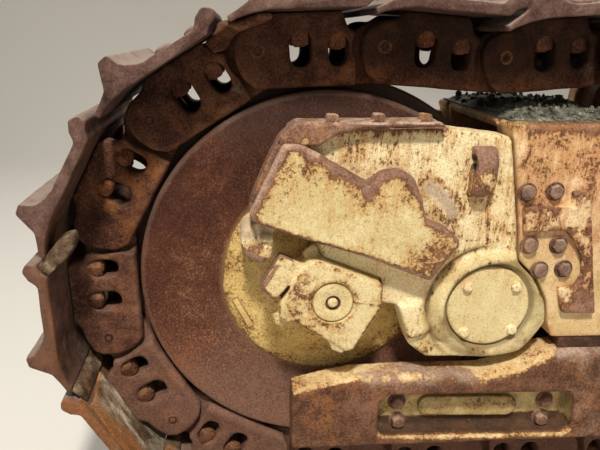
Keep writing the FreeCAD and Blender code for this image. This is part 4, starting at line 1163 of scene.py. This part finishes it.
# ----------------------------------------------------- frame nose and its pad
def beam_piece(side, word):
    def shape(co):
        front = [(432, 416), (420, 450), (560, 450), (792, 453)]
        co = ease(co, front, 12, 300)
        co = ease(co, [(430, 416), (461, 266), (479, 173), (490, 89)], 7, 300)
        return co

    def region(co, no):
        x, z = co[:, 0], co[:, 2]
        n1, n2 = rough(co, 50, 71, 3), rough(co * (1, 1, 0.15), 22, 72, 3)
        rust = 0.04 + 0.22 * n1 * sst(0, 150, z) + 0.16 * n2 * sst(-60, 120, z) + 0.10 * sst(250, 440, z) + 0.14 * blob(x, z, 650, 350, 70) + 0.05 * sst(100, 260, z)
        strip = near_line(x, z, [(430, 416), (461, 266), (479, 173), (490, 89), (547, 37), (583, -28)])
        rust -= 0.34 * np.exp(-(strip / 16) ** 2)
        rust += 0.55 * np.exp(-(near_line(x, z, [(470, 438), (790, 440)]) / 12) ** 2)
        rust -= 0.19 * sst(190, 60, z)
        rust -= 0.15 * blob(x, z, 545, 120, 70) + 0.22 * blob(x, z, 650, -95, 70)
        rust += 0.4 * np.exp(-(near_line(x, z, [(453, 337), (477, 372), (471, 392)]) / 4) ** 2)
        rust += 0.5 * np.exp(-(near_line(x, z, [(575, -2), (590, 14), (600, 38), (606, 60)]) / 2.5) ** 2)
        rust += 0.34 * blob(x, z, 600, -128, 40)
        return {"rust": rust, "bare": 0 * x, "dirt": 0.30 * (no[:, 2] > 0.6) + 0.16 * np.maximum(0, n2) + 0.12 * sst(200, 420, z) + 0.16 * sst(150, 40, z)}

    cast(word + "_beam_plate", sided(side, [prism(arcs(BEAM), -300, -203)]), 6.5 if side < 0 else 10.0, M["nose"], amp=1.0, grain=90,
         seed=71 + side, smooth=3, shape=shape, region=region, replaces=(word + "_frame_beam",))

    def region2(co, no):
        x, z = co[:, 0], co[:, 2]
        n1 = rough(co, 24, 75, 3)
        return {"rust": 0.12 + 0.70 * n1 + 0.22 * blob(x, z, 670, -10, 55) + 0.20 * blob(x, z, 520, 222, 45) + 0.1 * blob(x, z, 600, 225, 40) + 0.26 * sst(10, -40, z) + 0.22 * sst(628, 650, x) * sst(190, 150, z), "bare": 0.12 + 0 * x,
                "dirt": 0 * x}

    cast(word + "_stop_plate", sided(side, [prism(arcs(STOP), -318, -297)]), 4.0 if side < 0 else 6.0, M["pad"], amp=1.2, grain=24,
         seed=76 + side, smooth=3, shape=lambda co: ease(co, [p[:2] for p in STOP], 5, 318, closed=True), region=region2,
         replaces=(word + "_stop_pad",))
    bolts = []
    for i, (bx, bz) in enumerate(((482, 275), (555, 278), (509, 134), (588, 134), (547, 64), (613, 67))):
        bolts.append(turned((bx, side * 298, bz), (0, side, 0), [(0, 25), (4.5, 25), (5.5, 23.5), (5.5, 0)], 28))
        bolts.append(turned((bx, side * 302, bz), (0, side, 0), [(0, 19.5), (10, 19.5), (13, 16.5), (13, 9), (11.8, 0)], 6 if i % 2 else 20, 0.4 * i))
    crisp_piece(word + "_nose_bolts", bolts, M["bolt"], bevel=1.2, deg=42,
                region=lambda co, no: {"wear": 0.62 * sst(309, 314, np.abs(co[:, 1])) - 0.45 * sst(303.6, 300, np.abs(co[:, 1]))})


both(beam_piece)


# --------------------------------------------------------------- roller guard
def rail_piece(side, word):
    top = [(-102, -283), (-4, -256), (74, -242), (225, -239), (430, -240), (526, -211), (595, -172), (640, -169), (1085, -169)]
    opening = [(143, -296, 30), (704, -303, 30), (714, -440, 30), (143, -432, 30)]
    slot = [p[:2] for p in opening]

    def shape(co):
        soft = ease(co, top, 46, 320, power=0.85)
        firm = ease(co, top, 9, 320)
        k = sst(30, 130, co[:, 0])[:, None]
        co = firm * (1 - k) + soft * k
        co = ease(co, [(-100, -283), (-98, -458)], 9, 320)
        co = ease(co, slot, 9, 320, closed=True)
        return ease(co, [(-97, -458), (1085, -458)], 10, 320)

    def region(co, no):
        x, z, ay = co[:, 0], co[:, 2], np.abs(co[:, 1])
        n1, n2 = rough(co, 46, 81, 3), rough(co * (0.35, 1, 1), 22, 82, 3)
        d = near_line(x, z, top)
        inside = ((x > 137) & (x < 720) & (z < -290) & (z > -445)).astype(float)
        floor = inside * sst(312, 296, ay)
        flat = sst(0.30, 0.72, no[:, 2]) * (d < 90) * (z > -300)
        left = sst(100, 50, x)
        paint = flat * (left * (0.92 + 0.5 * n1) + (1 - left) * (0.26 + 0.75 * n1)) + (1 - left) * 0.42 * np.exp(-(d / (26 + 8 * n1)) ** 2)
        paint += 0.85 * np.exp(-(near_line(x, z, [(430, -246), (526, -220), (600, -182)]) / (26 + 10 * n1)) ** 2)
        paint *= 1 - 0.45 * sst(650, 760, x)
        metal = np.clip(0.90 - 0.84 * paint + 0.16 * n1 + 0.12 * n2, 0.04, 1) * (1 - floor)
        bare = (1 - left) * (0.48 + 0.35 * n2) * (1 - 0.7 * np.exp(-(near_line(x, z, [(430, -246), (526, -220), (600, -182)]) / 26) ** 2)) * np.exp(-((d - 8) / 30) ** 2) * (1 - floor) * (1 - 0.6 * sst(640, 740, x))
        lip = np.clip(np.exp(-(near_line(x, z, [(148, -415), (150, -430), (300, -437), (690, -443), (712, -430)]) / (8 + 3 * n1)) ** 2), 0, 1) * sst(288, 300, ay)
        rust = metal * (1 - 0.92 * lip) + floor * (0.10 + 0.62 * sst(-398, -410, z)) + 0.10 * (1 - floor) * np.maximum(0, n2) + 0.18 * lip * np.maximum(0, n2)
        dirt = floor * (0.34 + 0.45 * n1 + 0.85 * sst(-396, -412, z) + 0.45 * np.exp(-(near_line(x, z, slot, True) / 14) ** 2))
        return {"rust": rust, "bare": (bare + 0.30 * sst(610, 720, x) * (1 - floor)) * (1 - lip), "dirt": dirt * (1 - lip)}

    race = arcs([(266, -331, 33), (559, -339, 33), (562, -404, 33), (269, -394, 33)])
    parts = [prism(arcs(RAIL_GUARD), -320, -230)]
    cast(word + "_rail_casting", sided(side, parts), 5.5 if side < 0 else 9.0, M["guardrail"], amp=1.3, grain=90, seed=81 + side,
         smooth=3, cuts=sided(side, [prism(arcs(opening), -340, -260)]), shape=shape, region=region, replaces=(word + "_roller_guard",))
    crisp_piece(word + "_rail_boss", sided(side, [prism(race, -272, -255)]), M["guardrail"], bevel=4, seg=3, deg=40,
                region=lambda co, no: {"dirt": 0.08 + 0.9 * np.exp(-(near_line(co[:, 0], co[:, 2], [p[:2] for p in race], True) / 4.5) ** 2), "rust": 0.16 + 0 * co[:, 0]})
    bolts = []
    for i, (bx, bz) in enumerate(((206, -351), (212, -414), (649, -360), (643, -421))):
        bolts.append(turned((bx, side * 258, bz), (0, side, 0), [(0, 26), (5, 26), (6, 24.5), (6, 0)], 28))
        bolts.append(turned((bx, side * 263, bz), (0, side, 0), [(0, 19), (15, 19), (18, 16), (18, 0)], 6, 0.5 * i))
    crisp_piece(word + "_rail_bolts", bolts, M["bolt"], bevel=1.4, deg=42)


both(rail_piece)


# -------------------------------------------------- grit, mud and CAD pieces
def grid(xs, ys, height, base):
    """A closed bed: a height field over the grid xs by ys, standing on base."""
    nx, ny = len(xs), len(ys)
    X, Y = np.meshgrid(xs, ys, indexing="ij")
    Z = height(X, Y)
    top = np.column_stack((X.ravel(), Y.ravel(), Z.ravel()))
    bot = np.column_stack((X.ravel(), Y.ravel(), np.full(nx * ny, base)))
    f = []
    idx = lambda i, j: i * ny + j
    for i in range(nx - 1):
        for j in range(ny - 1):
            f.append([idx(i, j), idx(i + 1, j), idx(i + 1, j + 1), idx(i, j + 1)])
    q = nx * ny
    rim = [idx(i, 0) for i in range(nx)] + [idx(nx - 1, j) for j in range(1, ny)] + [idx(i, ny - 1) for i in range(nx - 2, -1, -1)] + [idx(0, j) for j in range(ny - 2, 0, -1)]
    for a, b in zip(rim, rim[1:] + rim[:1]):
        f.append([b, a, a + q, b + q])
    f.append([r + q for r in reversed(rim)])
    return np.concatenate((top, bot)), f


def bed(X, Y):
    p = np.column_stack((X.ravel(), Y.ravel(), np.zeros(X.size)))
    n = 9 * rough(p, 90, 401, 3) + 5 * rough(p, 18, 405, 3)
    edge = np.minimum(np.minimum((X - 436) / 26, (786 - X) / 26), (262 - np.abs(Y)) / 30).ravel()
    rise = 7 + 17 * sst(0, 3.2, edge)
    return (449.5 + (rise + n) * np.clip(edge, 0.03, 1) * sst(0.0, 0.5, edge + 0.25 * rough(p, 25, 411, 2))).reshape(X.shape)


stones = []
for i in range(330):
    x, y = rng.uniform(446, 778), rng.uniform(-262, 262)
    r = rng.uniform(3.0, 8.5) * (1.6 if i % 23 == 0 else 1)
    z = float(bed(np.array([[x]]), np.array([[y]]))[0, 0])
    bm = bmesh.new()
    bmesh.ops.create_icosphere(bm, subdivisions=1, radius=1.0)
    v = np.array([q.co[:] for q in bm.verts])
    f = [[q.index for q in t.verts] for t in bm.faces]
    bm.free()
    v = v * (1 + 0.28 * rng.standard_normal((len(v), 1)).clip(-1, 1)) * rng.uniform(0.7, 1.2, 3) * r
    stones.append((v + (x, y, min(z + 0.2 * r, 500)), f))
bed_part = grid(np.linspace(432, 790, 72), np.linspace(-264, 264, 104), bed, 447.0)
me = to_mesh("frame_top_grit", *join([bed_part] + stones))
finish_piece("frame_top_grit", me, M["grit"], "undercarriage", deg=60)

# dried mud that ran over the inner faces of the lower shoes
muds, flows, rims = [], [], []
for k, much in ((6, 1.0), (7, 1.0), (8, 0.9), (9, 0.9), (10, 0.8), (11, 0.7)):
    for sgn in (-1, 1):
        xs_, ys_ = np.linspace(-40, 258, 66), np.linspace(172, 328, 38)
        X, Y = np.meshgrid(xs_, ys_, indexing="ij")
        p = np.column_stack((X.ravel(), Y.ravel() * sgn, np.full(X.size, 50.0 * k)))
        run = rough(p * (0.22, 1, 1), 26, 500 + k, 3)
        e = np.minimum(np.minimum((X + 36) / 40, (240 - X) / 40), (321 - Y) / 30).ravel()
        cover = e + 0.9 * rough(p * (0.6, 1, 1), 60, 540 + k, 3) + 0.25 * sst(260, 190, Y).ravel()
        h = (2.5 + 3.5 * run + 2.5 * rough(p, 30, 560 + k, 2) + 6 * sst(215, 176, Y).ravel()) * much * sst(0.05, 0.6, cover) - 4.5 * sst(0.30, 0.0, cover)
        H = np.clip(h, -3.0, 14).reshape(X.shape)
        v, f = grid(xs_, ys_ * sgn if sgn > 0 else -ys_[::-1], lambda A, B, H=H, sgn=sgn: -(89.6 - (H if sgn > 0 else H[:, ::-1])), -97.0)
        v = v * (1, 1, -1)
        muds.append((put(v, k), [g[::-1] for g in f]))
        back = (lambda q: q.reshape(X.shape)) if sgn > 0 else (lambda q: q.reshape(X.shape)[:, ::-1])
        for out, q in ((flows, 0.46 + 0.70 * run + 0.22 * rough(p, 90, 580 + k, 2)), (rims, 0.9 * sst(0.80, 0.25, cover) + 1.0 * sst(205, 300, Y).ravel() + 0.75 * rough(p * (0.5, 1, 1), 50, 590 + k, 2))):
            q = back(q).ravel()
            out.append(np.concatenate((q, q)))
me = to_mesh("dried_mud", *join(muds))
attr(me, "dirt", np.concatenate(flows))
attr(me, "rust", np.concatenate(rims))
finish_piece("dried_mud", me, M["mud"], "undercarriage", deg=60)

# a clod of dried mud packed in between two shoes
for word, side in (("outer", -1), ("inner", 1)):
    clod = [prism(arcs([(-662, 164, 5), (-632, 172, 5), (-626, 142, 6), (-648, 109, 8), (-696, 62, 8), (-718, 70, 8), (-720, 92, 6), (-689, 132, 6)]), -322, -262)]
    cast(word + "_mud_clod", sided(side, clod), 5.5, M["mud"], amp=4.0, grain=22, seed=91 + side, smooth=2,
         region=lambda co, no: {"dirt": 0.36 + 0.30 * rough(co * (1, 0.4, 1) @ np.array([[0.8, 0, 0.6], [0, 1, 0], [-0.12, 0, 0.16]]), 9, 611, 2), "rust": 0.12 + 0.3 * rough(co, 30, 613, 2)})

# mud that closes the slits between the curved-away shoes
bars = []
for k in (5, 6, 7, 8):
    v, f = prism(arcs([(240, 88, 3), (262, 99, 4), (284, 106, 4), (300, 96, 4), (296, 82, 4), (262, 79, 4), (244, 82, 3)]), -315, 315)
    bars.append((put(v, k), f))
cast("shoe_slit_mud", bars, 9.0, M["mud"], amp=1.4, grain=30, seed=97, smooth=2,
     region=lambda co, no: {"dirt": 0.36 + 0.35 * rough(co, 26, 621, 3), "rust": 0.30 + 0.35 * rough(co, 40, 623, 2)})

# the same slit, and the wedge under the next shoe's lip, rusted shut at the top of the wheel
crust = []
for k, rows in ((3, [(240, 88, 3), (262, 99, 4), (284, 106, 4), (300, 96, 4), (296, 82, 4), (262, 79, 4), (244, 82, 3)]),
                (2, [(-60, 58, 3), (-44, 73, 6), (-10, 85, 10), (34, 91, 3), (40, 74, 3), (20, 64, 6), (-14, 57, 10), (-46, 42, 3)])):
    v, f = prism(arcs(rows), -312, 312)
    crust.append((put(v, k), f))
corner = arcs([(216, 89, 2), (216, 48, 3), (254, 40, 8), (288, 58, 8), (322, 62, 6), (304, 85, 4)])
for y0, y1 in ((-168, -114), (114, 168)):
    v, f = prism(corner, y0, y1)
    crust.append((put(v, 3), f))
cast("shoe_slit_crust", crust, 12.0, M["link"], amp=1.4, grain=30, seed=98, smooth=2,
     region=lambda co, no: {"dirt": 0.12 + 0.35 * rough(co, 26, 631, 3), "rust": 0.10 + 0.35 * rough(co, 40, 633, 2)})

SIMPLE = {"idler_axle": "bright", "frame_core": "nose", "frame_end_plate": "nose", "front_track_roller": "roller",
          "rear_track_roller": "roller", "track_roller_shafts": "bright", "carrier_roller": "roller",
          "carrier_roller_shaft": "bright", "track_bushings": "link"}
for w in ("outer", "inner"):
    SIMPLE.update({w + "_pivot_pin": "bright", w + "_frame_cheek": "nose", w + "_guard_hanger": "roller", w + "_roller_pedestal": "nose"})
for n, key in SIMPLE.items():
    o = frame["nodes"][n]
    o.data.materials.clear()
    o.data.materials.append(M[key])
    b = o.modifiers.new("edge", "BEVEL")
    b.width, b.segments, b.limit_method, b.angle_limit = 0.0025, 2, "ANGLE", math.radians(35)
    b.harden_normals = False
for n, o in frame["nodes"].items():
    if n not in SIMPLE:
        o.data.materials.clear()
        o.data.materials.append(M["cream"])

# ----------------------------------------------------------------- the stage
w = bpy.data.worlds.new("studio")
w.use_nodes = True
bg = w.node_tree.nodes["Background"]
bg.inputs[0].default_value = (1.0, 0.955, 0.87, 1)
bg.inputs[1].default_value = 0.32
bpy.context.scene.world = w


def area(name, way, dist, size, power, col):
    """A round soft box seen from the part in the direction way."""
    l = bpy.data.lights.new(name, "AREA")
    l.shape, l.size, l.energy, l.color = "DISK", size, power, col
    o = bpy.data.objects.new(name, l)
    bpy.context.scene.collection.objects.link(o)
    d = Vector(way).normalized()
    o.location = Vector((0, 0, 0.8)) + d * dist
    o.rotation_euler = d.to_track_quat("Z", "Y").to_euler()


area("key", (-0.15, -0.62, 0.92), 6.0, 0.6, 425, (1.0, 0.955, 0.88))
area("side", (-1.0, -0.25, 0.35), 6.0, 3.0, 60, (1.0, 0.965, 0.90))
area("back", (0.35, 1.0, 0.75), 6.0, 2.5, 150, (1.0, 0.98, 0.95))

# floor with a backdrop that curves up behind
rows = [(-30, 0)] + [(5 + 3 * math.sin(a), 3 - 3 * math.cos(a)) for a in np.linspace(0, math.pi / 2, 13)] + [(8, 20)]
fv = [(x, y, z) for x in (-30.0, 30.0) for y, z in rows]
ff = [[i, i + len(rows), i + 1 + len(rows), i + 1] for i in range(len(rows) - 1)]
fme = bpy.data.meshes.new("floor")
fme.from_pydata(fv, [], ff)
fme.shade_smooth()
floor = bpy.data.objects.new("floor", fme)
bpy.context.scene.collection.objects.link(floor)
fm = bpy.data.materials.new("floor")
fm.use_nodes = True
fb = fm.node_tree.nodes["Principled BSDF"]
fb.inputs["Base Color"].default_value = (0.66, 0.635, 0.59, 1)
fb.inputs["Roughness"].default_value = 0.95
fme.materials.append(fm)
bpy.context.scene.view_settings.view_transform = "Standard"
